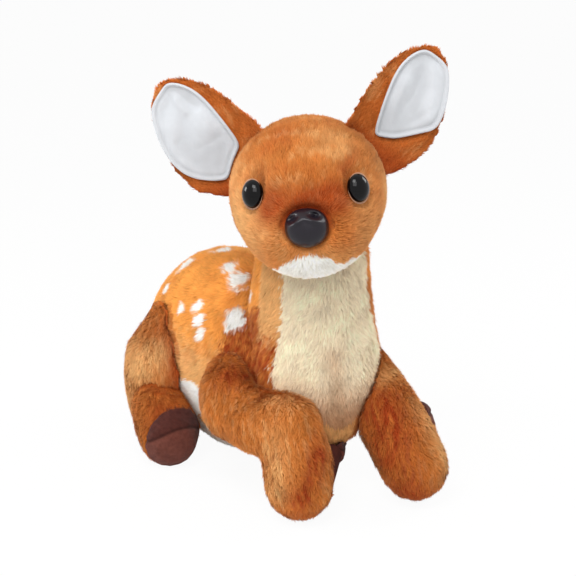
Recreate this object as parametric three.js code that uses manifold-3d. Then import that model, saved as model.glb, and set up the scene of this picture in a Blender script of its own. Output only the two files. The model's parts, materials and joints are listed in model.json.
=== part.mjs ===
// A plush fawn lying down, in millimetres, +Z up. It faces -Y, with its head turned to its own right (-X).
// Every stuffed form is a run of oval sections along a smooth path, closed by a dome at each end.
import * as THREE from 'three';
import * as BufferGeometryUtils from 'three/addons/utils/BufferGeometryUtils.js';
import Module from 'manifold-3d';

const wasm = await Module();
wasm.setup();

// Driving sizes shared by all the pieces
const seamGap = 0.3;
const overrun = 4;
const panelThickness = 3;
const floorFlat = 0.5;

const torsoSize = { length: 155, width: 92, height: 124, frontY: -34 };
const neckSize = { width: 70, depth: 70, height: 131, footZ: 27, side: 4.5, setBack: 7 };
const headSize = { width: 90, height: 90, length: 106, side: -10.5, setForward: 11, rise: 21 };
const headPose = { turn: -34, roll: -3.8, pitch: 0 };
const turnClearance = 0.9;
const earSize = { length: 78, width: 62, thickness: 7, cup: 9, liningThickness: 1.6, rootDepth: 13 };
const earSeat = {
  right: { side: 34, up: 25, back: 4 },
  left: { side: 38, up: 28, back: 4 },
};
const earAngles = { right: { rise: 38, sweep: 8 }, left: { rise: 50, sweep: 8 } };
const eyeSize = { radius: 6.6, dome: 5.2, rim: 0.9, shankRadius: 1.8, shankLength: 13 };
const noseSize = { width: 25, height: 21, depth: 10, shankRadius: 2.2, shankLength: 14, nostrilRadius: 3.4 };
const washerSize = { radius: 7.5, thickness: 2.4, setBack: 7 };
const forelegSize = { width: 42, length: 88 };
const foreShinSize = { width: 24, hoofLength: 17 };
const thighSize = { width: 40, length: 70, height: 90 };
const hindShinSize = { width: 38, length: 36, outward: 18, forward: 40, hoofLength: 15 };
const tailSize = { length: 42, width: 24, thickness: 13 };
const pelletBagSize = { width: 54, length: 66, height: 36 };
const chinSize = { width: 50, top: -19, back: 22 };
const leanAngles = { tail: 58, hindShin: 24 };
const turnAngles = { ear: 20, tail: 25, foreleg: 12, hindLeg: 10 };

// Places on the torso: share of its half width outward, of its length from the front, and of its height
const placeShares = {
  shoulder: [0.826, 0.200, 0.613],
  haunch: [0.913, 0.703, 0.371],
  tail: [0.000, 0.987, 0.677],
  pelletBag: [0.000, 0.619, 0.274],
};
// Belly panel: its half width, front end, rear end and top, in the same shares
const bellyShares = { halfWidth: 0.87, front: 0.232, rear: 0.916, top: 0.387 };

const degrees = THREE.MathUtils.degToRad;
const point = (x, y, z) => new THREE.Vector3(x, y, z);
const upward = point(0, 0, 1);
function onTorso([out, along, up], side = 1) {
  return point(
    side * out * torsoSize.width / 2, torsoSize.frontY + along * torsoSize.length, up * torsoSize.height,
  );
}

// Solids
function solidOf(geometry) {
  const bare = new THREE.BufferGeometry();
  bare.setAttribute('position', geometry.getAttribute('position'));
  bare.setIndex(geometry.getIndex());
  const welded = BufferGeometryUtils.mergeVertices(bare, 1e-4);
  const mesh = new wasm.Mesh({
    numProp: 3,
    vertProperties: new Float32Array(welded.getAttribute('position').array),
    triVerts: new Uint32Array(welded.getIndex().array),
  });
  return new wasm.Manifold(mesh);
}

function geometryOf(solid) {
  const mesh = solid.getMesh();
  const geometry = new THREE.BufferGeometry();
  geometry.setAttribute('position', new THREE.BufferAttribute(mesh.vertProperties, 3));
  geometry.setIndex(new THREE.BufferAttribute(mesh.triVerts, 1));
  return geometry;
}

function moved(solid, matrix) {
  return solid.transform(matrix.elements);
}

// What is left of a solid after its cutters, without the crumbs that a cut may leave
function cut(solid, ...cutters) {
  let left = solid;
  for (const cutter of cutters) {
    left = left.subtract(cutter);
  }
  const bodies = left.decompose();
  bodies.sort((a, b) => b.volume() - a.volume());
  return bodies[0];
}

function aboutAxis(pivot, axis, angle) {
  const turn = new THREE.Matrix4().makeRotationAxis(axis.clone().normalize(), degrees(angle));
  const there = new THREE.Matrix4().makeTranslation(pivot.x, pivot.y, pivot.z);
  const back = new THREE.Matrix4().makeTranslation(-pivot.x, -pivot.y, -pivot.z);
  return there.multiply(turn).multiply(back);
}

// A moving piece, cut so that it stays clear of a fixed one through its whole range
const sweepAngle = 10;
function clearedThrough(solid, fixed, pivot, axis, low, high) {
  const cutters = [];
  const steps = Math.ceil((high - low) / sweepAngle);
  for (let step = 0; step <= steps; step += 1) {
    const angle = low + (high - low) * step / steps;
    cutters.push(moved(fixed, aboutAxis(pivot, axis, -angle)));
  }
  return cut(solid, ...cutters);
}

// A closed surface through rings of points, with one point at each end
function loftGeometry(rings, first, last) {
  const count = rings[0].length;
  const points = [first, ...rings.flat(), last];
  const faces = [];
  const at = (ring, side) => 1 + ring * count + (side % count);
  for (let side = 0; side < count; side += 1) {
    faces.push(0, at(0, side + 1), at(0, side));
    faces.push(points.length - 1, at(rings.length - 1, side), at(rings.length - 1, side + 1));
    for (let ring = 0; ring < rings.length - 1; ring += 1) {
      faces.push(at(ring, side), at(ring, side + 1), at(ring + 1, side + 1));
      faces.push(at(ring, side), at(ring + 1, side + 1), at(ring + 1, side));
    }
  }
  const geometry = new THREE.BufferGeometry().setFromPoints(points);
  geometry.setIndex(faces);
  return outward(geometry);
}

// Turns every face over if the surface is inside out
function outward(geometry) {
  const place = geometry.getAttribute('position');
  const faces = geometry.getIndex().array;
  const corner = (i) => new THREE.Vector3().fromBufferAttribute(place, faces[i]);
  let volume = 0;
  for (let i = 0; i < faces.length; i += 3) {
    volume += corner(i).dot(corner(i + 1).cross(corner(i + 2)));
  }
  if (volume < 0) {
    geometry.setIndex(Array.from(faces).reverse());
  }
  return geometry;
}

const evenCurve = (points) => new THREE.CatmullRomCurve3(points, false, 'catmullrom', 0.5);

// A stuffed form. Stations hold a place, a half width and a half height; up gives the way of the height.
function stuffedForm({ stations, up, sides, steps, grow = 0 }) {
  const path = new THREE.CatmullRomCurve3(stations.map((s) => s.at), false, 'centripetal');
  const sizes = evenCurve(stations.map((s) => point(s.wide, s.high, 0)));
  const ringAt = (t, scale, offset) => {
    const ahead = path.getTangent(t);
    const wide = new THREE.Vector3().crossVectors(ahead, up).normalize();
    const high = new THREE.Vector3().crossVectors(wide, ahead).normalize();
    const centre = path.getPoint(t).addScaledVector(ahead, offset);
    const size = sizes.getPoint(t);
    return Array.from({ length: sides }, (_, side) => {
      const angle = 2 * Math.PI * side / sides;
      return centre.clone()
        .addScaledVector(wide, (size.x + grow) * scale * Math.cos(angle))
        .addScaledVector(high, (size.y + grow) * scale * Math.sin(angle));
    });
  };
  const domeRings = 3;
  const ends = [stations[0], stations[stations.length - 1]];
  const domes = ends.map((s) => (s.dome ?? Math.min(s.wide, s.high)) + grow);
  const rings = [];
  for (let ring = 1; ring < domeRings; ring += 1) {
    const angle = Math.PI / 2 * ring / domeRings;
    rings.push(ringAt(0, Math.sin(angle), -domes[0] * Math.cos(angle)));
  }
  for (let step = 0; step <= steps; step += 1) {
    rings.push(ringAt(step / steps, 1, 0));
  }
  for (let ring = domeRings - 1; ring > 0; ring -= 1) {
    const angle = Math.PI / 2 * ring / domeRings;
    rings.push(ringAt(1, Math.sin(angle), domes[1] * Math.cos(angle)));
  }
  const first = path.getPoint(0).addScaledVector(path.getTangent(0), -domes[0]);
  const last = path.getPoint(1).addScaledVector(path.getTangent(1), domes[1]);
  return solidOf(loftGeometry(rings, first, last));
}

function boxSolid(min, max) {
  const size = max.clone().sub(min);
  const middle = min.clone().add(max).multiplyScalar(0.5);
  return solidOf(new THREE.BoxGeometry(size.x, size.y, size.z).translate(middle.x, middle.y, middle.z));
}

const reach = 2 * (torsoSize.length + neckSize.height);
const underFloor = boxSolid(point(-reach, -reach, -reach), point(reach, reach, 0));

// Torso, along Y: share of the length, of the width, and of the height at the underside and at the back
const torsoShares = [
  [0.17, 0.78, 0.10, 0.95],
  [0.40, 0.98, 0.00, 1.03],
  [0.66, 1.00, 0.00, 1.00],
  [0.84, 0.88, 0.05, 0.89],
];
const torsoDomeShares = [0.17, 0.16];
function torsoForm(grow) {
  const stations = torsoShares.map(([along, wide, under, over]) => ({
    at: point(
      0, torsoSize.frontY + along * torsoSize.length, (under + over) / 2 * torsoSize.height - floorFlat,
    ),
    wide: wide * torsoSize.width / 2,
    high: (over - under) * torsoSize.height / 2,
  }));
  stations[0].dome = torsoDomeShares[0] * torsoSize.length;
  stations[stations.length - 1].dome = torsoDomeShares[1] * torsoSize.length;
  return stuffedForm({ stations, up: upward, sides: 24, steps: 9, grow });
}

// A panel let into a form: the skin of the form inside an outline, and what the form loses to it
function panelIn(form, outline, widerOutline) {
  const panel = cut(form(0).intersect(outline), form(-panelThickness));
  const recess = widerOutline.subtract(form(-panelThickness - seamGap));
  return { panel, recess };
}

function extruded(outlinePoints, depth, curveSegments) {
  const shape = new THREE.Shape();
  shape.moveTo(outlinePoints[0].x, outlinePoints[0].y);
  shape.splineThru([...outlinePoints.slice(1), outlinePoints[0]]);
  return new THREE.ExtrudeGeometry(shape, { depth, bevelEnabled: false, curveSegments });
}

// Belly panel: an oval seen from above
function bellyOutline(grow) {
  const oval = new THREE.Shape();
  const middleY = torsoSize.frontY + (bellyShares.front + bellyShares.rear) / 2 * torsoSize.length;
  const halfLength = (bellyShares.rear - bellyShares.front) / 2 * torsoSize.length;
  const halfWidth = bellyShares.halfWidth * torsoSize.width / 2;
  oval.absellipse(0, middleY, halfWidth + grow, halfLength + grow, 0, 2 * Math.PI);
  const depth = bellyShares.top * torsoSize.height + 2 * overrun;
  const geometry = new THREE.ExtrudeGeometry(oval, { depth, bevelEnabled: false, curveSegments: 12 });
  return solidOf(geometry.translate(0, 0, -2 * overrun));
}
const belly = panelIn(torsoForm, bellyOutline(0), bellyOutline(seamGap));

// Pellet bag, its pocket, and the gap that it goes in through
const pelletPlace = onTorso(placeShares.pelletBag);
function pelletForm(grow) {
  const half = pelletBagSize.length / 2;
  const wide = pelletBagSize.width / 2;
  const high = pelletBagSize.height / 2;
  const nearShare = 0.45;
  const stations = [-nearShare, 0, nearShare].map((share) => ({
    at: pelletPlace.clone().add(point(0, share * half, 0)),
    wide: wide * (1 - share * share / 2),
    high: high * (1 - share * share / 2),
    dome: half * (1 - nearShare),
  }));
  return stuffedForm({ stations, up: upward, sides: 12, steps: 3, grow });
}
const fillingGapShares = { width: 0.5, length: 0.7 };
const gapWidth = fillingGapShares.width * pelletBagSize.width;
const gapLength = fillingGapShares.length * pelletBagSize.length;
const fillingGap = boxSolid(
  point(-gapWidth / 2, pelletPlace.y - gapLength / 2, -overrun),
  point(gapWidth / 2, pelletPlace.y + gapLength / 2, pelletPlace.z),
);

const torso = cut(torsoForm(0), underFloor, belly.recess, pelletForm(seamGap), fillingGap);
const bellyPanel = cut(belly.panel, underFloor);
const pelletBag = pelletForm(0);

// Neck and chest, upward: share of the height, of the width and of the depth, and the middle's lean forward
const neckPlace = point(neckSize.side, torsoSize.frontY + neckSize.setBack, neckSize.footZ);
const neckShares = [
  [0.10, 0.92, 0.78, 0.03],
  [0.28, 1.10, 0.94, 0.09],
  [0.50, 1.04, 1.14, -0.03],
  [0.74, 0.98, 1.04, -0.03],
  [0.92, 0.92, 0.92, 0.00],
];
function neckForm(grow) {
  const stations = neckShares.map(([along, wide, deep, lean]) => ({
    at: neckPlace.clone().add(point(0, -lean * neckSize.depth, along * neckSize.height)),
    wide: wide * neckSize.width / 2,
    high: deep * neckSize.depth / 2,
  }));
  stations[0].dome = neckShares[0][0] * neckSize.height;
  stations[stations.length - 1].dome = (1 - neckShares[neckShares.length - 1][0]) * neckSize.height;
  return stuffedForm({ stations, up: point(0, -1, 0), sides: 22, steps: 8, grow });
}

// Bib outline seen from the front: share of the neck's width from its middle, share of its height
const bibShares = [
  [-0.42, 1.02], [-0.42, 0.78], [-0.44, 0.60], [-0.50, 0.44], [-0.50, 0.34],
  [-0.28, 0.22], [0.00, 0.14], [0.22, 0.26], [0.43, 0.40], [0.40, 0.52], [0.27, 0.74], [0.23, 1.02],
];
function bibOutline(grow) {
  const middle = bibShares.reduce((sum, s) => sum + s[0], 0) / bibShares.length;
  const middleUp = bibShares.reduce((sum, s) => sum + s[1], 0) / bibShares.length;
  const points = bibShares.map(([across, up]) => {
    const x = neckPlace.x + across * neckSize.width + grow * Math.sign(across - middle);
    const z = neckPlace.z + up * neckSize.height + grow * Math.sign(up - middleUp);
    return new THREE.Vector2(x, z);
  });
  const depth = neckSize.depth / 2 + 3 * overrun;
  const geometry = extruded(points, depth, 2).rotateX(Math.PI / 2);
  return solidOf(geometry.translate(0, neckPlace.y, 0));
}
const bib = panelIn(neckForm, bibOutline(0), bibOutline(seamGap));
const torsoGrown = torsoForm(seamGap);
const neck = cut(neckForm(0), torsoGrown, bib.recess);
const bibPanel = cut(bib.panel, torsoGrown);

// Head, in its own frame: the face looks along -Y
const headGroup = new THREE.Group();
headGroup.position.copy(neckPlace);
headGroup.position.add(point(headSize.side, -headSize.setForward, neckSize.height + headSize.rise));
headGroup.rotation.set(degrees(headPose.pitch), degrees(headPose.roll), degrees(headPose.turn), 'ZYX');
headGroup.updateMatrixWorld(true);
const toHead = headGroup.matrixWorld.clone().invert();

// From the back of the head to the muzzle: share of the length, half width share, top share, underside share
const headShares = [
  [0.12, 0.70, 0.42, 0.28],
  [0.30, 0.93, 0.50, 0.36],
  [0.48, 1.00, 0.52, 0.42],
  [0.66, 0.94, 0.42, 0.46],
  [0.80, 0.80, 0.25, 0.47],
  [0.90, 0.60, 0.11, 0.42],
];
const headDomeShares = [0.12, 0.09];
const headBackShare = 0.46;
function headForm(grow) {
  const stations = headShares.map(([along, wide, top, under]) => ({
    at: point(0, (headBackShare - along) * headSize.length, (top - under) / 2 * headSize.height),
    wide: wide * headSize.width / 2,
    high: (top + under) / 2 * headSize.height,
  }));
  stations[0].dome = headDomeShares[0] * headSize.length;
  stations[stations.length - 1].dome = headDomeShares[1] * headSize.length;
  return stuffedForm({ stations, up: upward, sides: 24, steps: 10, grow });
}

// Chin panel: the underside of the muzzle below a curved seam
function chinOutline(grow) {
  const halfWidth = chinSize.width / 2 + grow;
  const topZ = chinSize.top + grow;
  const depth = headSize.length;
  const dropShare = 0.35;
  const shape = new THREE.Shape();
  shape.moveTo(-halfWidth, topZ - dropShare * chinSize.width);
  shape.quadraticCurveTo(-halfWidth / 2, topZ, 0, topZ);
  shape.quadraticCurveTo(halfWidth / 2, topZ, halfWidth, topZ - dropShare * chinSize.width);
  shape.lineTo(halfWidth, -headSize.height);
  shape.lineTo(-halfWidth, -headSize.height);
  const geometry = new THREE.ExtrudeGeometry(shape, { depth, bevelEnabled: false, curveSegments: 8 });
  return solidOf(geometry.rotateX(Math.PI / 2).translate(0, -chinSize.back + grow, 0));
}
const chin = panelIn(headForm, chinOutline(0), chinOutline(seamGap));

// Eyes and nose sit in shallow seats on the head, each on a shank that a washer locks inside
function lathed(profile, segments) {
  const turned = new THREE.LatheGeometry(profile.map(([r, z]) => new THREE.Vector2(r, z)), segments);
  return turned.rotateX(Math.PI / 2);
}

function eyeGeometry() {
  const { radius, dome, rim, shankRadius, shankLength } = eyeSize;
  const profile = [
    [0, -shankLength], [shankRadius, -shankLength], [shankRadius, 0], [radius, 0], [radius, rim],
  ];
  const steps = 6;
  for (let step = 1; step <= steps; step += 1) {
    const angle = Math.PI / 2 * step / steps;
    profile.push([radius * Math.cos(angle), rim + (dome - rim) * Math.sin(angle)]);
  }
  profile[profile.length - 1][0] = 0;
  return lathed(profile, 20);
}

function washerGeometry(boreRadius) {
  const back = -washerSize.setBack - washerSize.thickness;
  const profile = [
    [boreRadius, back], [washerSize.radius, back], [washerSize.radius, -washerSize.setBack],
    [boreRadius, -washerSize.setBack], [boreRadius, back],
  ];
  return lathed(profile, 16);
}

// The room that a shank, its washer and an oval seat need inside the head
function fittingRoom(seatWidth, seatHeight, shankRadius, shankLength) {
  const r = shankRadius + seamGap;
  const wide = washerSize.radius + seamGap;
  const back = -washerSize.setBack - washerSize.thickness - seamGap;
  const front = -washerSize.setBack + seamGap;
  const profile = [
    [0, -shankLength - seamGap], [r, -shankLength - seamGap], [r, back], [wide, back],
    [wide, front], [r, front], [r, overrun], [0, overrun],
  ];
  const seat = new THREE.CylinderGeometry(1, 1, 3 * overrun, 20).rotateX(Math.PI / 2);
  seat.scale(seatWidth / 2 + seamGap, seatHeight / 2 + seamGap, 1);
  seat.translate(0, 0, 3 * overrun / 2 - seamGap);
  return solidOf(lathed(profile, 16)).add(solidOf(seat));
}

// Where the eyes and the nose sit, as shares of the head's half width, height and length
const eyeSeatShares = { side: 0.63, up: 0.15, ahead: 0.38 };
const eyeAim = { out: 38, up: 10 };
const noseSeatShares = { up: -0.04, ahead: 0.50 };
const noseAimUp = 12;
const noseTopShare = 0.28;

function fittingPlace(at, out, up) {
  const place = new THREE.Group();
  place.position.copy(at);
  place.rotation.set(degrees(90 - up), 0, degrees(out), 'ZXY');
  place.updateMatrix();
  return place;
}

function eyePlace(side) {
  const at = point(
    side * eyeSeatShares.side * headSize.width / 2,
    -eyeSeatShares.ahead * headSize.length,
    eyeSeatShares.up * headSize.height,
  );
  return fittingPlace(at, side * eyeAim.out, eyeAim.up);
}
const nosePlace = fittingPlace(
  point(0, -noseSeatShares.ahead * headSize.length, noseSeatShares.up * headSize.height), 0, noseAimUp,
);

function noseSolid() {
  const ball = new THREE.SphereGeometry(1, 20, 14);
  const place = ball.getAttribute('position');
  for (let i = 0; i < place.count; i += 1) {
    const x = place.getX(i) * (1 + noseTopShare * place.getY(i));
    place.setX(i, x);
  }
  ball.scale(noseSize.width / 2, noseSize.height / 2, noseSize.depth);
  const back = boxSolid(
    point(-noseSize.width, -noseSize.height, -2 * noseSize.depth), point(noseSize.width, noseSize.height, 0),
  );
  const shankProfile = [
    [0, -noseSize.shankLength], [noseSize.shankRadius, -noseSize.shankLength],
    [noseSize.shankRadius, overrun], [0, overrun],
  ];
  const shank = solidOf(lathed(shankProfile, 16));
  const nostrilShares = { side: 0.27, up: 0.30, out: 0.92 };
  let nose = solidOf(ball).subtract(back).add(shank);
  for (const side of [-1, 1]) {
    const dent = new THREE.SphereGeometry(noseSize.nostrilRadius, 12, 8);
    dent.translate(
      side * nostrilShares.side * noseSize.width,
      nostrilShares.up * noseSize.height,
      nostrilShares.out * noseSize.depth,
    );
    nose = nose.subtract(solidOf(dent));
  }
  return nose;
}

const eyeRoom = fittingRoom(2 * eyeSize.radius, 2 * eyeSize.radius, eyeSize.shankRadius, eyeSize.shankLength);
const noseRoom = fittingRoom(
  (1 + noseTopShare / 2) * noseSize.width, (1 + noseTopShare / 4) * noseSize.height,
  noseSize.shankRadius, noseSize.shankLength,
);
const neckInHead = moved(neckForm(turnClearance), toHead);
const rooms = [
  moved(eyeRoom, eyePlace(-1).matrix), moved(eyeRoom, eyePlace(1).matrix), moved(noseRoom, nosePlace.matrix),
];
const head = cut(headForm(0), neckInHead, chin.recess, ...rooms);
const chinPanel = cut(chin.panel, neckInHead, ...rooms);

// Ears: a cupped leaf. Each row is a share of the length, then the lower and the upper edge of the leaf and
// of its lining as shares of the width.
const earShares = [
  [0.00, -0.34, 0.22, -0.18, -0.02],
  [0.10, -0.44, 0.30, -0.23, -0.01],
  [0.24, -0.54, 0.35, -0.35, 0.06],
  [0.38, -0.57, 0.37, -0.45, 0.13],
  [0.54, -0.52, 0.38, -0.46, 0.20],
  [0.70, -0.42, 0.36, -0.38, 0.25],
  [0.84, -0.30, 0.29, -0.26, 0.23],
  [0.94, -0.17, 0.19, -0.13, 0.15],
];
const earTipShares = { leaf: 1, lining: 0.97, up: 0.05 };
const earFoldShares = { right: 1.04, left: 0.86 };
const earEdgeShare = 0.08;
function earLeaf(name, columns, tipShare, thickness, forward) {
  const across = 7;
  const steps = 10;
  const edgeOf = (column) => evenCurve(earShares.map((row) => point(row[0], row[column], 0)));
  const edges = [1, 2, ...columns].map(edgeOf);
  const placed = (up) => up * earSize.width * (up < 0 ? earFoldShares[name] : 1);
  const rings = [];
  for (let step = 0; step <= steps; step += 1) {
    const [leafLow, leafHigh, low, high] = edges.map((edge) => placed(edge.getPoint(step / steps).y));
    const share = edges[0].getPoint(step / steps).x;
    const ring = [];
    for (let k = 0; k < 2 * across; k += 1) {
      const front = k >= across;
      const side = front ? (2 * across - k) / across : k / across;
      const up = low + (high - low) * side;
      const width = (2 * up - leafLow - leafHigh) / (leafHigh - leafLow);
      const cup = earSize.cup * (1 - width ** 2) * (1 - share / 2);
      const inside = Math.min(Math.max(side, earEdgeShare), 1 - earEdgeShare);
      const half = thickness / 2 * Math.sin(Math.PI * inside) ** 0.4;
      const depth = forward + cup + (front ? -half : half);
      ring.push(point(share * earSize.length - earSize.rootDepth, depth, up));
    }
    rings.push(ring);
  }
  const root = rings[0].reduce((sum, p) => sum.add(p), point(0, 0, 0)).divideScalar(rings[0].length);
  const tip = point(tipShare * earSize.length - earSize.rootDepth, forward, placed(earTipShares.up));
  return solidOf(loftGeometry(rings, root, tip));
}

function earGroup(name, side) {
  const { side: out, up, back } = earSeat[name];
  const { rise, sweep } = earAngles[name];
  const group = new THREE.Group();
  group.position.set(side * out, back, up);
  group.rotation.set(0, degrees(-side * rise), degrees(side * sweep), 'ZYX');
  return group;
}

const mirrorX = new THREE.Matrix4().makeScale(-1, 1, 1);
function earParts(name, side) {
  const group = earGroup(name, side);
  group.updateMatrix();
  const headInEar = moved(headForm(seamGap), group.matrix.clone().invert());
  const face = (solid) => (side < 0 ? moved(solid, mirrorX) : solid);
  const root = point(0, 0, 0);
  const clear = (solid) => clearedThrough(solid, headInEar, root, upward, -turnAngles.ear, turnAngles.ear);
  const liningPlace = -earSize.thickness / 2 - earSize.liningThickness / 2 - seamGap;
  const leaf = face(earLeaf(name, [1, 2], earTipShares.leaf, earSize.thickness, 0));
  const lining = face(earLeaf(name, [3, 4], earTipShares.lining, earSize.liningThickness, liningPlace));
  const room = face(earLeaf(name, [1, 2], earTipShares.leaf, earSize.thickness + 2 * seamGap, 0));
  return { group, shell: clear(leaf), lining: clear(lining.subtract(room)) };
}
const ears = { right: earParts('right', -1), left: earParts('left', 1) };

// Tail, hanging from the top of the rump
const tailPivot = onTorso(placeShares.tail);
function tailForm() {
  const tailShares = [
    [0.00, 0.70, 0.80],
    [0.40, 1.00, 1.00],
    [0.80, 0.62, 0.66],
  ];
  const lean = degrees(leanAngles.tail);
  const stations = tailShares.map(([along, wide, high]) => ({
    at: tailPivot.clone().addScaledVector(point(0, Math.cos(lean), -Math.sin(lean)), along * tailSize.length),
    wide: wide * tailSize.width / 2,
    high: high * tailSize.thickness / 2,
  }));
  return stuffedForm({ stations, up: upward, sides: 12, steps: 4 });
}
const tail = clearedThrough(tailForm(), torsoGrown, tailPivot, point(1, 0, 0), 0, turnAngles.tail);

// A foreleg is one or more runs that meet in creases. Each place is a share of the leg's length ahead,
// of the leg's width outward and of the shoulder's height, and each girth is a share of the width.
const forelegShares = {
  right: [
    [[0.00, 0.00, 0.88, 0.80], [0.08, 0.10, 0.78, 0.95], [0.14, 0.10, 0.68, 1.00]],
    [[0.13, 0.06, 0.66, 0.92], [0.40, 0.02, 0.67, 1.00], [0.62, -0.14, 0.69, 1.00]],
    [[0.60, -0.14, 0.68, 0.96], [0.72, -0.15, 0.46, 1.00], [0.76, -0.14, 0.27, 0.98]],
  ],
  left: [
    [
      [0.12, -0.08, 1.02, 0.80], [0.40, -0.17, 0.88, 0.96],
      [0.68, -0.09, 0.62, 1.02], [0.93, 0.00, 0.29, 1.00],
    ],
  ],
};
function forelegPlace(side, ahead, out, up) {
  const shoulder = onTorso(placeShares.shoulder, side);
  const step = point(side * out * forelegSize.width, -ahead * forelegSize.length, (up - 1) * shoulder.z);
  return shoulder.add(step);
}
function forelegForm(name, side, grow) {
  const runs = forelegShares[name].map((run) => {
    const stations = run.map(([ahead, out, up, girth]) => ({
      at: forelegPlace(side, ahead, out, up),
      wide: girth * forelegSize.width / 2,
      high: girth * forelegSize.width / 2,
    }));
    const along = stations[run.length - 1].at.clone().sub(stations[0].at);
    const up = Math.abs(along.z) > Math.abs(along.y) ? point(0, -1, 0) : point(0, 0, 1);
    return stuffedForm({ stations, up, sides: 14, steps: 2 * run.length - 2, grow });
  });
  return runs.reduce((whole, run) => whole.add(run));
}

// The shin folds back beside the knee and ends in the hoof: its two ends, in the same shares
const domeShare = 1 / 3;
const foreShinShares = {
  right: [[0.77, -0.38, 0.18], [0.45, -1.02, 0.40]],
  left: [[0.92, 0.22, 0.27], [0.66, 0.36, 0.56]],
};
function foreShinForm(name, side, grow) {
  const [knee, hoof] = foreShinShares[name].map(([ahead, out, up]) => forelegPlace(side, ahead, out, up));
  const girthShares = [0.90, 1.00, 1.04];
  const stations = girthShares.map((girth, i) => ({
    at: knee.clone().lerp(hoof, i / (girthShares.length - 1)),
    wide: girth * foreShinSize.width / 2,
    high: girth * foreShinSize.width / 2,
    dome: domeShare * foreShinSize.width,
  }));
  const ahead = hoof.clone().sub(knee).normalize();
  return { hoof, ahead, form: stuffedForm({ stations, up: upward, sides: 12, steps: 3, grow }) };
}

function halfSpace(at, facing) {
  const size = reach;
  const place = new THREE.Matrix4().lookAt(at, at.clone().sub(facing), point(0.1, 0.1, 1).normalize());
  place.setPosition(at);
  const box = new THREE.BoxGeometry(size, size, size).translate(0, 0, size / 2);
  return solidOf(box.applyMatrix4(place));
}

const neckGrown = neckForm(seamGap);
function forelegParts(name, side) {
  const pivot = onTorso(placeShares.shoulder, side);
  const swing = point(0, 0, side);
  const clear = (solid) => {
    const offTorso = clearedThrough(solid, torsoGrown, pivot, swing, 0, turnAngles.foreleg);
    return cut(clearedThrough(offTorso, neckGrown, pivot, swing, 0, turnAngles.foreleg), underFloor);
  };
  const upper = clear(forelegForm(name, side, 0));
  const upperGrown = forelegForm(name, side, seamGap);
  const run = foreShinForm(name, side, 0);
  const seamPlace = domeShare * foreShinSize.width - foreShinSize.hoofLength;
  const seam = run.hoof.clone().addScaledVector(run.ahead, seamPlace);
  const hoofSide = halfSpace(seam, run.ahead);
  const shinSide = halfSpace(seam.clone().addScaledVector(run.ahead, seamGap), run.ahead.clone().negate());
  const shin = clear(cut(run.form, hoofSide, upperGrown));
  const hoof = clear(cut(run.form, shinSide, upperGrown));
  return { upper, shin, hoof, pivot };
}
const forelegs = { right: forelegParts('right', -1), left: forelegParts('left', 1) };

// Hind legs: a haunch against the flank and a shin that lies forward on the floor
const thighShares = [
  [0.02, -0.16, 0.34, 0.76, 0.66],
  [0.00, 0.00, 0.14, 1.00, 0.94],
  [0.09, 0.04, -0.08, 0.98, 0.90],
  [0.16, 0.02, -0.28, 0.84, 0.76],
];
function thighForm(side, grow) {
  const stations = thighShares.map(([along, out, lift, wide, deep]) => ({
    at: onTorso(placeShares.haunch, side).add(
      point(side * out * thighSize.width, along * thighSize.length, lift * thighSize.height),
    ),
    wide: wide * thighSize.width / 2,
    high: deep * thighSize.length / 2,
    dome: thighSize.width / 2,
  }));
  return stuffedForm({ stations, up: point(0, 1, 0), sides: 16, steps: 6, grow });
}

// Hind shin, from its rear end to the hoof: share of the length, girth and lift as shares of the width
const hindShinShares = [
  [0.00, 1.12, 0.22],
  [0.40, 1.14, 0.09],
  [0.75, 1.04, 0.00],
  [1.00, 0.92, 0.00],
];
function hindHoofPlace(side) {
  return onTorso(placeShares.haunch, side).add(point(side * hindShinSize.outward, -hindShinSize.forward, 0));
}
function hindShinForm(side, grow) {
  const lean = degrees(leanAngles.hindShin);
  const hoof = hindHoofPlace(side);
  const stations = hindShinShares.map(([along, girth, lift]) => ({
    at: point(
      hoof.x - side * hindShinSize.length * (1 - along) * Math.sin(lean),
      hoof.y + hindShinSize.length * (1 - along) * Math.cos(lean),
      (girth / 2 + lift) * hindShinSize.width - floorFlat,
    ),
    wide: girth * hindShinSize.width / 2,
    high: girth * hindShinSize.width / 2,
    dome: domeShare * hindShinSize.width,
  }));
  return stuffedForm({ stations, up: upward, sides: 16, steps: 5, grow });
}

function hindLegParts(side) {
  const pivot = onTorso(placeShares.haunch, side);
  const swing = point(0, 0, side);
  const clear = (solid) => {
    const offTorso = clearedThrough(solid, torsoGrown, pivot, swing, 0, turnAngles.hindLeg);
    return cut(offTorso, underFloor);
  };
  const seamY = hindHoofPlace(side).y + hindShinSize.hoofLength - domeShare * hindShinSize.width;
  const hoofSide = boxSolid(point(-reach, -reach, -reach), point(reach, seamY, reach));
  const shinSide = boxSolid(point(-reach, seamY - seamGap, -reach), point(reach, reach, reach));
  const shin = clear(cut(hindShinForm(side, 0), hoofSide));
  const hoof = clear(cut(hindShinForm(side, 0), shinSide));
  const thigh = clear(cut(thighForm(side, 0), hindShinForm(side, seamGap)));
  return { thigh, shin, hoof, pivot };
}
const hindLegs = { right: hindLegParts(-1), left: hindLegParts(1) };

// Materials
const material = (color, roughness) => new THREE.MeshStandardMaterial({ color, roughness, metalness: 0 });
const fur = () => material('#c97c3c', 0.95);
const saddleFur = () => material('#d98f4a', 0.95);
const ivoryFur = () => material('#ebe4c9', 0.95);
const whiteFur = () => material('#eeeee6', 0.95);
const knit = () => material('#e4e4e6', 0.85);
const suede = () => material('#67453c', 0.9);
const gloss = () => material('#0b0a0c', 0.08);
const satin = () => material('#211f2a', 0.35);
const canvas = () => material('#d8d2c4', 0.9);
const plastic = () => material('#e8e8e4', 0.5);

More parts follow.
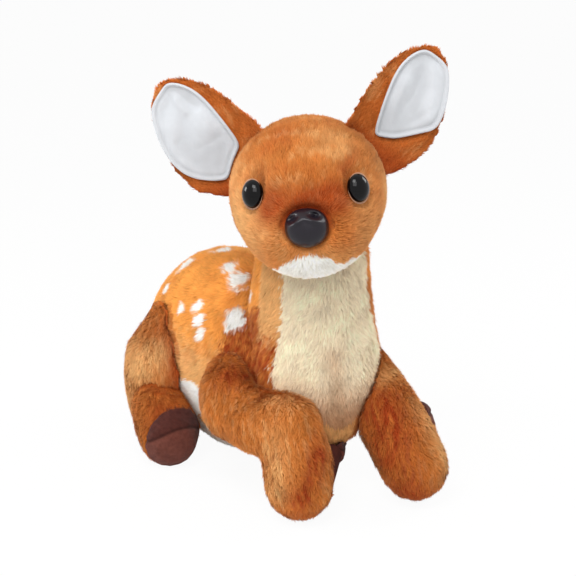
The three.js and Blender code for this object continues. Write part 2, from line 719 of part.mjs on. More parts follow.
function addPiece(parent, name, shape, finish) {
  const geometry = shape.isBufferGeometry ? shape : geometryOf(shape);
  geometry.computeVertexNormals();
  const mesh = new THREE.Mesh(geometry, finish);
  mesh.name = name;
  parent.add(mesh);
  return mesh;
}

function addFitting(parent, name, shape, finish, place) {
  const mesh = addPiece(parent, name, shape, finish);
  mesh.position.copy(place.position);
  mesh.quaternion.copy(place.quaternion);
}

const eyeWasher = solidOf(washerGeometry(eyeSize.shankRadius + seamGap));
const noseWasher = solidOf(washerGeometry(noseSize.shankRadius + seamGap));

const fawn = new THREE.Group();
addPiece(fawn, 'torso', torso, saddleFur());
addPiece(fawn, 'belly_panel', bellyPanel, whiteFur());
addPiece(fawn, 'pellet_bag', pelletBag, canvas());
addPiece(fawn, 'neck', neck, fur());
addPiece(fawn, 'bib_panel', bibPanel, ivoryFur());
addPiece(fawn, 'tail', tail, fur());

addPiece(headGroup, 'head', head, fur());
addPiece(headGroup, 'chin_panel', chinPanel, whiteFur());
for (const [name, side] of [['right', -1], ['left', 1]]) {
  addFitting(headGroup, `eye_${name}`, solidOf(eyeGeometry()), gloss(), eyePlace(side));
  addFitting(headGroup, `eye_${name}_washer`, eyeWasher, plastic(), eyePlace(side));
  addPiece(ears[name].group, `ear_${name}`, ears[name].shell, fur());
  addPiece(ears[name].group, `ear_${name}_lining`, ears[name].lining, knit());
  headGroup.add(ears[name].group);
  addPiece(fawn, `foreleg_${name}`, forelegs[name].upper, fur());
  addPiece(fawn, `foreleg_${name}_shin`, forelegs[name].shin, fur());
  addPiece(fawn, `foreleg_${name}_hoof`, forelegs[name].hoof, suede());
  addPiece(fawn, `thigh_${name}`, hindLegs[name].thigh, fur());
  addPiece(fawn, `hind_shin_${name}`, hindLegs[name].shin, fur());
  addPiece(fawn, `hind_hoof_${name}`, hindLegs[name].hoof, suede());
}
addFitting(headGroup, 'nose', noseSolid(), satin(), nosePlace);
addFitting(headGroup, 'nose_washer', noseWasher, plastic(), nosePlace);
fawn.add(headGroup);

// The origin is at the middle of the foot of the whole toy's box
fawn.updateMatrixWorld(true);
const extent = new THREE.Box3().setFromObject(fawn, true);
fawn.position.set(-(extent.min.x + extent.max.x) / 2, -(extent.min.y + extent.max.y) / 2, -extent.min.z);

export default fawn;
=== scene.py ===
"""Plush fawn lying down: stuffed skins, pile, eyes, nose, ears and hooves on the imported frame."""
import json
import math

import bmesh
import bpy
import numpy as np
from bpy.props import FloatProperty, FloatVectorProperty, IntProperty, PointerProperty
from mathutils import Matrix, Vector
from mathutils.bvhtree import BVHTree
from mathutils.kdtree import KDTree

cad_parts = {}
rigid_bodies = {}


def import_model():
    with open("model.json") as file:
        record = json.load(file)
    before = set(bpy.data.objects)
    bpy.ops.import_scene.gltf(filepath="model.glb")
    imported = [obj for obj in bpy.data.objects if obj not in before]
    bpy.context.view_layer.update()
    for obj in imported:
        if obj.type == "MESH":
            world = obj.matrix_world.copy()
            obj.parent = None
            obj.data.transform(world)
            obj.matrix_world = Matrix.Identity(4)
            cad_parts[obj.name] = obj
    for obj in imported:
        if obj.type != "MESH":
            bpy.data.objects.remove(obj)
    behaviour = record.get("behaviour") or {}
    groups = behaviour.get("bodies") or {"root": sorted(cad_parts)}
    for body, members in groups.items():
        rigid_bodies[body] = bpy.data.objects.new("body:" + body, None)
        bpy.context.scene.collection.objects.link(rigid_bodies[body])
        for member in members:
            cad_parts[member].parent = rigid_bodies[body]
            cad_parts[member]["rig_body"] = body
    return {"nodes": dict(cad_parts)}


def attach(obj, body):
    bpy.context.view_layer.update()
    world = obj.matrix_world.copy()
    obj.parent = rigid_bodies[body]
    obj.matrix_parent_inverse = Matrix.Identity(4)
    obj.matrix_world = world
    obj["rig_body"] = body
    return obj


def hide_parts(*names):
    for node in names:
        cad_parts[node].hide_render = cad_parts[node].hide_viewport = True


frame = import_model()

bl_info = {
    "name": "Plush Fawn",
    "version": (1, 0, 0),
    "blender": (4, 5, 0),
    "location": "3D View > Sidebar > Fawn",
    "description": "Builds the pieces of a plush fawn on its packed frame",
    "category": "Object",
}

MM = 0.001
nodes = frame["nodes"]
forms = {}


def linear(*rgb):
    """The linear colour of an eight bit one."""
    return tuple(c / 12.92 if c <= 0.04045 else ((c + 0.055) / 1.055) ** 2.4 for c in (v / 255 for v in rgb))


def colour(title, text, *rgb):
    return FloatVectorProperty(
        name=title, description=text, subtype="COLOR", size=3, min=0, max=1, default=linear(*rgb)
    )


def length(title, text, millimetres):
    return FloatProperty(name=title, description=text, default=millimetres * MM, min=0, unit="LENGTH")


def angle(title, text, degrees):
    return FloatProperty(name=title, description=text, default=math.radians(degrees), subtype="ANGLE")


def amount(title, text, value):
    return FloatProperty(name=title, description=text, default=value, min=0)


class FAWN_PG_sizes(bpy.types.PropertyGroup):
    inset: length("Skin inset", "How far the woven ground lies under the outline of the pile", 2.0)
    voxel: length("Skin grain", "Grid size of the skins", 2.2)
    pile: length("Pile length", "Length of the body pile", 4.8)
    head_pile: length("Head pile length", "Length of the pile on the head", 3.8)
    limb_pile: length("Limb pile length", "Length of the pile on the legs", 4.0)
    ear_pile: length("Ear pile length", "Length of the pile on the ears", 2.3)
    strand: length("Strand width", "Width of one tuft", 0.44)
    density: amount("Density", "Tufts on each square millimetre", 3.6)
    lean: angle("Lean", "Angle of the pile above the skin", 33)
    seed: IntProperty(name="Seed", description="Start of the random numbers", default=11)
    head_turn: angle("Head turn", "Turn of the head at rest", -34)
    head_roll: angle("Head roll", "Roll of the head at rest", -3.8)
    eye_out: angle("Eye aim out", "Sideways aim of each eye", 38)
    eye_up: angle("Eye aim up", "Upward aim of each eye", 10)
    nose_up: angle("Nose aim up", "Upward aim of the nose", 12)
    eye_radius: length("Eye half width", "Half the width of the eye domes", 6.6)
    eye_half: length("Eye half height", "Half the height of the eye domes", 7.8)
    eye_dome: length("Eye height", "Height of the eye domes", 5.2)
    nose_width: length("Nose width", "Width of the nose", 23.6)
    nose_height: length("Nose height", "Height of the nose", 21.6)
    nose_depth: length("Nose depth", "Depth of the nose", 10.0)
    hem: length("Ear hem", "Width of the rolled hem of the ear linings", 2.6)


class FAWN_PG_colours(bpy.types.PropertyGroup):
    brown: colour("Brown", "Pile of head, neck and legs", 216, 128, 56)
    saddle: colour("Saddle", "Pile of the back", 252, 170, 80)
    # Tan is also painted light on cheeks, muzzle and leg tops and at the tips of dark tufts, and painted
    # shade on the bib
    tan: colour("Tan", "Pale streaks of the flanks", 244, 190, 124)
    # Deep red is also the painted shade of folds, creases, eye corners and places with little open sky
    deep: colour("Deep red", "Pile in the shaded folds and corners", 168, 60, 18)
    ear: colour("Ear brown", "Pile of the ears", 206, 112, 48)
    white: colour("White", "Spots and belly", 255, 255, 250)
    bib: colour("Bib", "Ivory pile of the chest", 255, 238, 206)
    # Bib shade is painted shade: the lower end of the bib between the legs, its crease, and the chin and
    # belly pile where little sky is open
    bib_shade: colour("Bib low", "Browner end of the chest pile", 196, 146, 106)
    chin: colour("Chin", "Pile of the chin", 255, 254, 246)
    lining: colour("Lining", "Knit inside the ears", 200, 203, 207)
    suede: colour("Suede", "Lower panel of the hooves", 106, 60, 50)
    suede_dark: colour("Dark suede", "Upper panel of the hooves", 80, 42, 36)
    eye: colour("Eye", "Black of the eyes", 4, 4, 5)
    eye_rim: colour("Eye rim", "Ring round each eye", 178, 130, 100)
    nose: colour("Nose", "Plastic of the nose", 24, 19, 28)
    canvas: colour("Canvas", "Bag of pellets", 224, 214, 194)
    washer: colour("Washer", "Washers inside the head", 232, 232, 228)
    floor: colour("Floor", "Floor and backdrop", 248, 248, 248)


class FAWN_PG_stage(bpy.types.PropertyGroup):
    azimuth: angle("Azimuth", "Side from which the camera looks", -32)
    elevation: angle("Elevation", "Height from which the camera looks", 17)
    distance: length("Distance", "From the camera to what it looks at", 950)
    focal: amount("Focal length", "Lens in millimetres on a 36 mm sensor", 98.96)
    key: amount("Side lamps", "Power of each side lamp", 2.5)
    window: amount("Window lamp", "Power of the lamp above on the left", 3.2)
    fill: amount("Front lamp", "Power of the wide front lamp", 2.3)
    sky: amount("Sky", "Strength of the world", 0.46)


def sizes():
    return bpy.context.scene.fawn_sizes


def colours():
    return bpy.context.scene.fawn_colours


def tint(name):
    """One of the colours above, for work with arrays."""
    return np.array(getattr(colours(), name))


# Small helpers: vectors, noise and mesh data


def unit(v):
    return v / np.maximum(np.linalg.norm(v, axis=-1, keepdims=True), 1e-12)


def dots(a, b):
    return np.sum(a * b, axis=-1, keepdims=True)


def flat_to(v, n):
    """v without its part along the normal n, at unit length."""
    return unit(v - dots(v, n) * n)


def ripple(p, size, seed):
    """Smooth noise of about unit height, from a sum of waves of the given size."""
    rng = np.random.default_rng(seed)
    total = np.zeros(len(p))
    for _ in range(7):
        way = rng.normal(size=3)
        way /= np.linalg.norm(way)
        total += np.sin(p @ way * (2 * math.pi / size * rng.uniform(0.6, 1.5)) + rng.uniform(0, 6.28))
    return total / 1.9


def tufts(p, size, seed):
    """The centre of the irregular cell that each point is in, and a random number of the cell."""
    base = np.floor(p / size)
    best = np.full(len(p), 1e9)
    centre = np.zeros_like(p)
    chance = np.zeros(len(p))
    for i in (-1, 0, 1):
        for j in (-1, 0, 1):
            for k in (-1, 0, 1):
                cell = base + (i, j, k)
                key = cell @ np.array([127.1, 311.7, 74.7]) + seed
                a, b, c = (np.modf(np.abs(np.sin(key * s) * 43758.5453))[0] for s in (1.0, 1.37, 1.93))
                at = (cell + np.stack([a, b, c], 1)) * size
                gap = np.sum((p - at) ** 2, axis=1)
                near = gap < best
                best[near] = gap[near]
                centre[near] = at[near]
                chance[near] = np.modf(a[near] * 7.13 + b[near] * 3.1)[0]
    return centre, chance


def step_between(value, low, high):
    t = np.clip((value - low) / (high - low), 0, 1)
    return t * t * (3 - 2 * t)


def mixed(a, b, share):
    share = np.asarray(share)
    if share.ndim == 1:
        share = share[:, None]
    return a * (1 - share) + b * share


def everywhere(rgb, p):
    """The same colour for every point."""
    return np.tile(rgb, (len(p), 1))


def mesh_points(mesh):
    co = np.empty(len(mesh.vertices) * 3, np.float32)
    mesh.vertices.foreach_get("co", co)
    return co.reshape(-1, 3).astype(float) / MM


def mesh_normals(mesh):
    no = np.empty(len(mesh.vertices) * 3, np.float32)
    mesh.vertex_normals.foreach_get("vector", no)
    return no.reshape(-1, 3).astype(float)


def mesh_triangles(mesh):
    mesh.calc_loop_triangles()
    tri = np.empty(len(mesh.loop_triangles) * 3, np.int32)
    mesh.loop_triangles.foreach_get("vertices", tri)
    return tri.reshape(-1, 3)


def set_points(mesh, points):
    mesh.vertices.foreach_set("co", (points * MM).astype(np.float32).ravel())
    mesh.update()


def mesh_from(bm, name):
    mesh = bpy.data.meshes.new(name)
    bm.to_mesh(mesh)
    bm.free()
    return mesh


def whole(bm):
    return bm.verts[:] + bm.edges[:] + bm.faces[:]


def add_object(name, mesh):
    made = bpy.data.objects.new(name, mesh)
    bpy.context.scene.collection.objects.link(made)
    return made


def settled(source, name):
    """A plain object with the result of the modifiers of another, which goes."""
    graph = bpy.context.evaluated_depsgraph_get()
    mesh = bpy.data.meshes.new_from_object(source.evaluated_get(graph), depsgraph=graph)
    bpy.data.objects.remove(source)
    mesh.name = name
    return add_object(name, mesh)


def smooth_faces(mesh):
    mesh.polygons.foreach_set("use_smooth", np.ones(len(mesh.polygons), bool))
    mesh.update()


def shown(mesh, made_of):
    """A smooth object of a finished mesh, with its material."""
    smooth_faces(mesh)
    mesh.materials.append(made_of)
    return add_object(mesh.name, mesh)


def tree_of(names):
    verts, polys = [], []
    for name in names:
        first = len(verts)
        data = nodes[name].data
        verts.extend(v.co / MM for v in data.vertices)
        polys.extend(tuple(first + i for i in p.vertices) for p in data.polygons)
    return BVHTree.FromPolygons(verts, polys)


def gaps(tree, points):
    """The distance from each point to a tree in millimetres."""
    return np.array([tree.find_nearest(Vector(v))[3] for v in points])


def gaps_to_sheet(mesh, points):
    """The distance from each point to an open sheet in millimetres, through a tree that is kept."""
    tree = forms.get(mesh.name)
    if tree is None:
        bm = bmesh.new()
        bm.from_mesh(mesh)
        tree = forms[mesh.name] = BVHTree.FromBMesh(bm)
        bm.free()
    return np.array([tree.find_nearest(Vector(v) * MM)[3] / MM for v in points])


def node_centre(name):
    p = mesh_points(nodes[name].data)
    return (p.min(0) + p.max(0)) / 2


def body_of(node):
    return nodes[node]["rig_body"]


# Shader groups and materials


def group(name, inputs, outputs):
    tree = bpy.data.node_groups.new(name, "ShaderNodeTree")
    for title, kind, default in inputs:
        socket = tree.interface.new_socket(name=title, in_out="INPUT", socket_type=kind)
        socket.default_value = default
    for title, kind in outputs:
        tree.interface.new_socket(name=title, in_out="OUTPUT", socket_type=kind)
    return tree, tree.nodes.new("NodeGroupInput"), tree.nodes.new("NodeGroupOutput")


def maths(tree, operation, *values):
    """The output of a Math node, whose inputs are numbers or other outputs."""
    made = tree.nodes.new("ShaderNodeMath")
    made.operation = operation
    for socket, value in zip(made.inputs, values):
        if isinstance(value, (int, float)):
            socket.default_value = value
        else:
            tree.links.new(value, socket)
    return made.outputs[0]


def mottle_group():
    """Lighter and darker patches over a colour."""
    tree, given, out = group(
        "Mottle",
        [
            ("Color", "NodeSocketColor", (1, 1, 1, 1)),
            ("Scale", "NodeSocketFloat", 60.0),
            ("Amount", "NodeSocketFloat", 0.15),
        ],
        [("Color", "NodeSocketColor")],
    )
    place = tree.nodes.new("ShaderNodeTexCoord")
    noise = tree.nodes.new("ShaderNodeTexNoise")
    noise.inputs["Detail"].default_value = 4
    spread = tree.nodes.new("ShaderNodeMapRange")
    spread.inputs["From Min"].default_value = 0.3
    spread.inputs["From Max"].default_value = 0.7
    mix = tree.nodes.new("ShaderNodeVectorMath")
    mix.operation = "SCALE"
    tree.links.new(place.outputs["Object"], noise.inputs["Vector"])
    tree.links.new(given.outputs["Scale"], noise.inputs["Scale"])
    tree.links.new(noise.outputs["Fac"], spread.inputs["Value"])
    tree.links.new(maths(tree, "SUBTRACT", 1, given.outputs["Amount"]), spread.inputs["To Min"])
    tree.links.new(maths(tree, "ADD", 1, given.outputs["Amount"]), spread.inputs["To Max"])
    tree.links.new(given.outputs["Color"], mix.inputs[0])
    tree.links.new(spread.outputs["Result"], mix.inputs["Scale"])
    tree.links.new(mix.outputs["Vector"], out.inputs["Color"])
    return tree


def grain_group():
    """A fine bump, such as nap or satin plastic."""
    tree, given, out = group(
        "Grain",
        [
            ("Scale", "NodeSocketFloat", 900.0),
            ("Depth", "NodeSocketFloat", 0.0002),
            ("Stretch", "NodeSocketFloat", 1.0),
        ],
        [("Normal", "NodeSocketVector")],
    )
    place = tree.nodes.new("ShaderNodeTexCoord")
    pull = tree.nodes.new("ShaderNodeCombineXYZ")
    pull.inputs["X"].default_value = 1
    pull.inputs["Y"].default_value = 1
    size = tree.nodes.new("ShaderNodeVectorMath")
    size.operation = "MULTIPLY"
    noise = tree.nodes.new("ShaderNodeTexNoise")
    noise.inputs["Detail"].default_value = 3
    bump = tree.nodes.new("ShaderNodeBump")
    tree.links.new(given.outputs["Stretch"], pull.inputs["Z"])
    tree.links.new(place.outputs["Object"], size.inputs[0])
    tree.links.new(pull.outputs["Vector"], size.inputs[1])
    tree.links.new(size.outputs["Vector"], noise.inputs["Vector"])
    tree.links.new(given.outputs["Scale"], noise.inputs["Scale"])
    tree.links.new(given.outputs["Depth"], bump.inputs["Distance"])
    tree.links.new(noise.outputs["Fac"], bump.inputs["Height"])
    tree.links.new(bump.outputs["Normal"], out.inputs["Normal"])
    return tree


def shared(name, make):
    return bpy.data.node_groups.get(name) or make()


def material(name, tint=None, attribute=None, mottle=(60, 0.12), grain=None, **settings):
    """A Principled material whose colour comes from a constant or from an attribute of the mesh."""
    found = bpy.data.materials.get(name)
    if found:
        return found
    made = bpy.data.materials.new(name)
    made.use_nodes = True
    tree = made.node_tree
    shader = tree.nodes["Principled BSDF"]
    for key, value in settings.items():
        shader.inputs[key.replace("_", " ")].default_value = value
    tone = tree.nodes.new("ShaderNodeGroup")
    tone.node_tree = shared("Mottle", mottle_group)
    tone.inputs["Scale"].default_value = mottle[0]
    tone.inputs["Amount"].default_value = mottle[1]
    if attribute:
        read = tree.nodes.new("ShaderNodeAttribute")
        read.attribute_name = attribute
        tree.links.new(read.outputs["Color"], tone.inputs["Color"])
    else:
        tone.inputs["Color"].default_value = (*tint, 1)
    tree.links.new(tone.outputs["Color"], shader.inputs["Base Color"])
    if grain:
        nap = tree.nodes.new("ShaderNodeGroup")
        nap.node_tree = shared("Grain", grain_group)
        for key, value in zip(("Scale", "Depth", "Stretch"), grain):
            nap.inputs[key].default_value = value
        tree.links.new(nap.outputs["Normal"], shader.inputs["Normal"])
    return made


def paint(mesh, name, rgb):
    """Stores a colour for each vertex under the given attribute name."""
    layer = mesh.color_attributes.new(name, "FLOAT_COLOR", "POINT")
    data = np.ones((len(rgb), 4), np.float32)
    data[:, :3] = np.clip(rgb, 0, 1)
    layer.data.foreach_set("color", data.ravel())


# Skins: one for each stuffed form, from a copy of its frame pieces
# How far a skin looks for its neighbours and for the sky, in millimetres
MOST_ROOM = 12.0
SKY_REACH = 45.0


def keep_largest(mesh):
    """Removes all but the largest connected part, so that closed inner hollows go."""
    bm = bmesh.new()
    bm.from_mesh(mesh)
    seen, parts = set(), []
    for first in bm.verts:
        if first in seen:
            continue
        part, front = [], [first]
        seen.add(first)
        while front:
            at = front.pop()
            part.append(at)
            for edge in at.link_edges:
                other = edge.other_vert(at)
                if other not in seen:
                    seen.add(other)
                    front.append(other)
        parts.append(part)
    parts.sort(key=len)
    for part in parts[:-1]:
        bmesh.ops.delete(bm, geom=part, context="VERTS")
    bm.to_mesh(mesh)
    bm.free()


def make_skin(name, parts, voxel, rounds=4):
    """A closed, evenly gridded skin on the outline of the given frame pieces."""
    bm = bmesh.new()
    for part in parts:
        bm.from_mesh(nodes[part].data)
    bmesh.ops.remove_doubles(bm, verts=bm.verts, dist=0.02 * MM)
    made = add_object(name + "_source", mesh_from(bm, name))
    grid = made.modifiers.new("grid", "REMESH")
    grid.mode = "VOXEL"
    grid.voxel_size = voxel
    even = made.modifiers.new("even", "SMOOTH")
    even.factor = 0.5
    even.iterations = rounds
    made = settled(made, name)
    keep_largest(made.data)
    smooth_faces(made.data)
    return made


def spread(mesh, values, rounds):
    """The values at the vertices, evened out along the edges."""
    if values.ndim == 2:
        return np.stack([spread(mesh, column, rounds) for column in values.T], 1)
    edge = np.empty(len(mesh.edges) * 2, np.int32)
    mesh.edges.foreach_get("vertices", edge)
    a, b = edge.reshape(-1, 2).T
    count = np.bincount(a, minlength=len(values)) + np.bincount(b, minlength=len(values)) + 1
    for _ in range(rounds):
        total = values + np.bincount(a, values[b], len(values)) + np.bincount(b, values[a], len(values))
        values = total / count
    return values


def exposure(mesh, parts):
    """For each vertex: 1 where the outside is free, the room along the normal, and the share of open sky."""
    others = [n for n in nodes if n not in parts and "washer" not in n and n != "pellet_bag"]
    tree, every = tree_of(others), tree_of([*others, *parts])
    p, n = mesh_points(mesh), mesh_normals(mesh)
    ways = unit(np.random.default_rng(5).normal(size=(14, 3)))
    free, room, sky = np.ones(len(p)), np.full(len(p), MOST_ROOM), np.ones(len(p))
    for i in range(len(p)):
        at, way = Vector(p[i] + n[i] * 0.7), Vector(n[i])
        near_by, facing, *_ = tree.find_nearest(at, 5.0)
        if near_by is not None and (at - near_by).dot(facing) < 0:
            free[i] = room[i] = sky[i] = 0
            continue
        found = tree.ray_cast(at, way, MOST_ROOM)
        if found[0] is not None:
            room[i] = found[3]
        lifted = at + way * 2
        hit = 0
        for w in ways:
            w = (Vector(w) + way * 1.02).normalized()
            if lifted.z + w.z * SKY_REACH < 0 or every.ray_cast(lifted, w, SKY_REACH)[0] is not None:
                hit += 1
        sky[i] = 1 - hit / len(ways)
    return free, room, spread(mesh, sky, 4)


def panel_share(mesh, main, panel):
    """Above zero where the panel is nearer than the main piece."""
    p = mesh_points(mesh)
    return gaps(tree_of([main]), p) - gaps(tree_of([panel]), p)


def to_line(p, a, b):
    """The distance of points from the line between two points."""
    a, b = np.array(a, float), np.array(b, float)
    way = b - a
    t = np.clip((p - a) @ way / max(way @ way, 1e-9), 0, 1)
    return np.linalg.norm(p - a - t[:, None] * way, axis=1)


# Soft folds pressed into the skins: form, two ends, width and depth, in millimetres
CREASES = [
    ("foreleg_right", (-46, -79, 68), (-48.5, -87, 52), 3.2, 1.9),
    ("foreleg_right", (-53, -64.5, 65), (-56, -72, 49), 3.4, 1.7),
    ("foreleg_right", (-37, -60.5, 72), (-47, -58.5, 70), 6.0, 1.5),
    ("foreleg_right", (-47, -58.5, 70), (-56, -52.5, 62), 6.0, 1.7),
    ("foreleg_right", (-49, -12.8, 76), (-42.5, -26, 81), 3.0, 1.8),
    ("foreleg_left", (22.5, -83.5, 70), (36, -80, 75), 4.0, 1.8),
    ("head", (-11, -99.5, 205), (3, -91.5, 210), 3.4, 1.3),
    ("neck", (-3, -78, 118), (-2.5, -82, 58), 4.0, 0.9),
    ("hind_shin_right", (-60, 22, 39), (-61, 32, 44), 1.8, 0.8),
]


# Each form's frame pieces, slot and pile length
FORM_TABLE = {
    "torso": (("torso", "belly_panel"), "saddle_fur", "pile"),
    "neck": (("neck", "bib_panel"), "brown_fur", "pile"),
    "head": (("head", "chin_panel"), "brown_fur", "head_pile"),
    "tail": (("tail",), "brown_fur", "pile"),
    "foreleg_right": (("foreleg_right",), "brown_fur", "limb_pile"),
    "foreleg_left": (("foreleg_left",), "brown_fur", "limb_pile"),
    "foreleg_right_shin": (("foreleg_right_shin",), "brown_fur", "limb_pile"),
    "foreleg_left_shin": (("foreleg_left_shin",), "brown_fur", "limb_pile"),
    "thigh_right": (("thigh_right",), "brown_fur", "limb_pile"),
    "thigh_left": (("thigh_left",), "brown_fur", "limb_pile"),
    "hind_shin_right": (("hind_shin_right",), "brown_fur", "limb_pile"),
    "hind_shin_left": (("hind_shin_left",), "brown_fur", "limb_pile"),
    "ear_right": (("ear_right", "ear_right_lining"), "brown_fur", "ear_pile"),
    "ear_left": (("ear_left", "ear_left_lining"), "brown_fur", "ear_pile"),
}
# The panel sewn into a form, and its slot
PANELS = {
    "torso": ("belly_panel", "white_fur"),
    "neck": ("bib_panel", "ivory_fur"),
    "head": ("chin_panel", "white_fur"),
}
# The legs show the side that lies against the body when they swing out
LEGS = ("foreleg_right", "foreleg_left", "thigh_right", "thigh_left")


def shaped(name, mesh, free, depth):
    """The points of a skin: drawn in under the pile, creased, and fitted to the forms beside it."""
    thin = name.startswith("ear")
    p, n = mesh_points(mesh), mesh_normals(mesh)
    inward = depth * np.clip(spread(mesh, free, 6) * 3, 0, 1)
    if thin:
        # The root of each ear goes into the head
        close = gaps(tree_of(["head"]), p)
        p = p + unit(node_centre("head") - p) * (step_between(5.5 - close, 0, 3.5) * 5.0)[:, None]
        inward *= step_between(close, 1, 6)
    for form, a, b, wide, deep in CREASES:
        if form == name:
            inward += deep * along_line(p, a, b, wide)
    p = p - spread(mesh, n * inward[:, None], 6 if thin else 2)
    if thin:
        # The skin lies 0.9 mm further in behind its lining
        front = np.array(EAR_FRONT)
        behind = step_between(3.2 - gaps_to_sheet(forms[name + "_sheet"], p), 0, 1.2) * (n @ front > 0.3)
        p = p + front * -0.9 * behind[:, None]
    if name == "neck":
        # The top of the neck hugs the head, and its left side swells above the foreleg
        close = gaps(tree_of(["head"]), p)
        hug = step_between(11 - close, 0, 9) * step_between(p[:, 2], 136, 146) * 5.5
        p = p + unit(node_centre("head") - p) * hug[:, None]
        p = p + np.array([2.6, -1.4, 0]) * near(p, (42, -62, 94), (9, 16, 22))[:, None]
    if name == "torso":
        # The underside rises behind the right elbow
        rise = step_between(15 - p[:, 2], 0, 13) * step_between(-p[:, 0], 2, 22)
        p[:, 2] += 5.0 * (rise * step_between(24 - p[:, 1], 0, 12))
    return p


# The head's own frame, for the nose, the eyes and the marks of the face


def head_matrix():
    s = sizes()
    return Matrix.Rotation(s.head_turn, 3, "Z") @ Matrix.Rotation(s.head_roll, 3, "Y")


def fitting_matrix(out, up):
    return head_matrix() @ Matrix.Rotation(out, 3, "Z") @ Matrix.Rotation(math.pi / 2 - up, 3, "X")


def seat_of(node, turned):
    """The point where a lathed fitting's axis meets its seat plane, in millimetres."""
    p = mesh_points(nodes[node].data) @ np.array(turned)
    across, high = (p[:, 0].min() + p[:, 0].max()) / 2, (p[:, 1].min() + p[:, 1].max()) / 2
    return across, high, p[:, 2]


def fitting_place(node, out, up, height):
    """The place of an eye or the nose: rotation, and its seat given the height of its dome."""
    turned = fitting_matrix(out, up)
    across, high, deep = seat_of(node, turned)
    at = turned @ Vector((across, high, deep.max() - height / MM))
    return turned, at


def face_places():
    s = sizes()
    return {
        "eye_right": fitting_place("eye_right", -s.eye_out, s.eye_up, s.eye_dome),
        "eye_left": fitting_place("eye_left", s.eye_out, s.eye_up, s.eye_dome),
        "nose": fitting_place("nose", 0, s.nose_up, s.nose_depth),
    }


# Pile. No tuft goes lower than FLOOR_GAP millimetres, and no piece has more tufts than MOST_TUFTS
FLOOR_GAP = 0.15
MOST_TUFTS = 62000


def tuft_colours(tip, dark, shade, chance):
    """The colours of tufts at root, middle and tip, from their tip colour and how dark their roots are. The
    darker, warmer roots are painted shade within the pile, and the tan on the tips of darker tufts is a
    painted rim light.
    """
    base = tip * (shade + (chance - 0.5) * 0.14)[:, None]
    light = step_between(tip[:, 2], 0.3, 0.6)
    warm = mixed(everywhere([1.0, 0.80, 0.66], tip), np.array([1.0, 0.98, 0.95]), light)
    low = base * dark[:, None] * warm
    return low, mixed(low, base, 0.7), np.clip(mixed(base, tint("tan"), 0.10 * (1 - light)), 0, 1)


def blades(name, root, normal, way, long, wide, lean, look, rng, clump):
    """Bent flat tufts: root and normal in millimetres, way along the nap, and look for tuft_colours."""
    count = len(root)
    side = unit(np.cross(way, normal))
    twist = rng.normal(0, 0.5, count)[:, None]
    side = side * np.cos(twist) + normal * np.sin(twist) * 0.6
    low, high = lean + 0.25, lean - 0.22
    first = unit(way * np.cos(low)[:, None] + normal * np.sin(low)[:, None])
    second = unit(way * np.cos(high)[:, None] + normal * np.sin(high)[:, None])
    p0 = root - normal * 0.3
    p1 = p0 + first * (long * 0.5)[:, None]
    p2 = p1 + second * (long * 0.5)[:, None]
    centre, chance = tufts(root, 1.9, 5)
    pull = centre - root
    pull -= dots(pull, normal) * normal
    p1 += pull * 0.05 * clump
    p2 += pull * 0.18 * clump
    for p in (p1, p2):
        p[:, 2] = np.maximum(p[:, 2], FLOOR_GAP)
    half = side * (wide / 2)[:, None]
    verts = np.stack([p0 - half * 0.8, p0 + half * 0.8, p1 - half, p1 + half, p2], 1).reshape(-1, 3)
    base = np.arange(count)[:, None] * 5
    loops = np.concatenate([base + [0, 1, 3, 2], base + [2, 3, 4]], 1).ravel()
    starts = (np.arange(count)[:, None] * 7 + [0, 4]).ravel()
    mesh = bpy.data.meshes.new(name)
    mesh.vertices.add(count * 5)
    mesh.vertices.foreach_set("co", (verts * MM).astype(np.float32).ravel())
    mesh.loops.add(count * 7)
    mesh.loops.foreach_set("vertex_index", loops.astype(np.int32))
    mesh.polygons.add(count * 2)
    mesh.polygons.foreach_set("loop_start", starts.astype(np.int32))
    mesh.update(calc_edges=True)
    mesh.polygons.foreach_set("use_smooth", np.ones(count * 2, bool))
    # The light falls on the tufts much as on the skin under them, with a little of their own facing
    own = unit(np.cross(side, second))
    own *= np.sign(dots(own, normal) + 1e-9)
    turned = unit(normal * 0.78 + own * 0.22 + side * rng.normal(0, 0.13, count)[:, None])
    mesh.normals_split_custom_set_from_vertices(np.repeat(turned, 5, axis=0))
    at_root, at_middle, at_tip = tuft_colours(*look, chance)
    rgb = np.stack([at_root, at_root, at_middle, at_middle, at_tip], 1).reshape(-1, 3)
    paint(mesh, "pile_colour", rgb)
    # Each tuft has its own patch in the picture that a bake writes
    rows = int(math.ceil(math.sqrt(count)))
    cell = np.stack([np.arange(count) % rows, np.arange(count) // rows], 1)[:, None, :]
    patch = np.array([[0.2, 0.15], [0.8, 0.15], [0.8, 0.6], [0.2, 0.6], [0.2, 0.6], [0.8, 0.6], [0.5, 0.9]])
    layer = mesh.uv_layers.new(name="OFBake")
    layer.data.foreach_set("uv", ((cell + patch) / rows).astype(np.float32).ravel())
    return add_object(name, mesh)


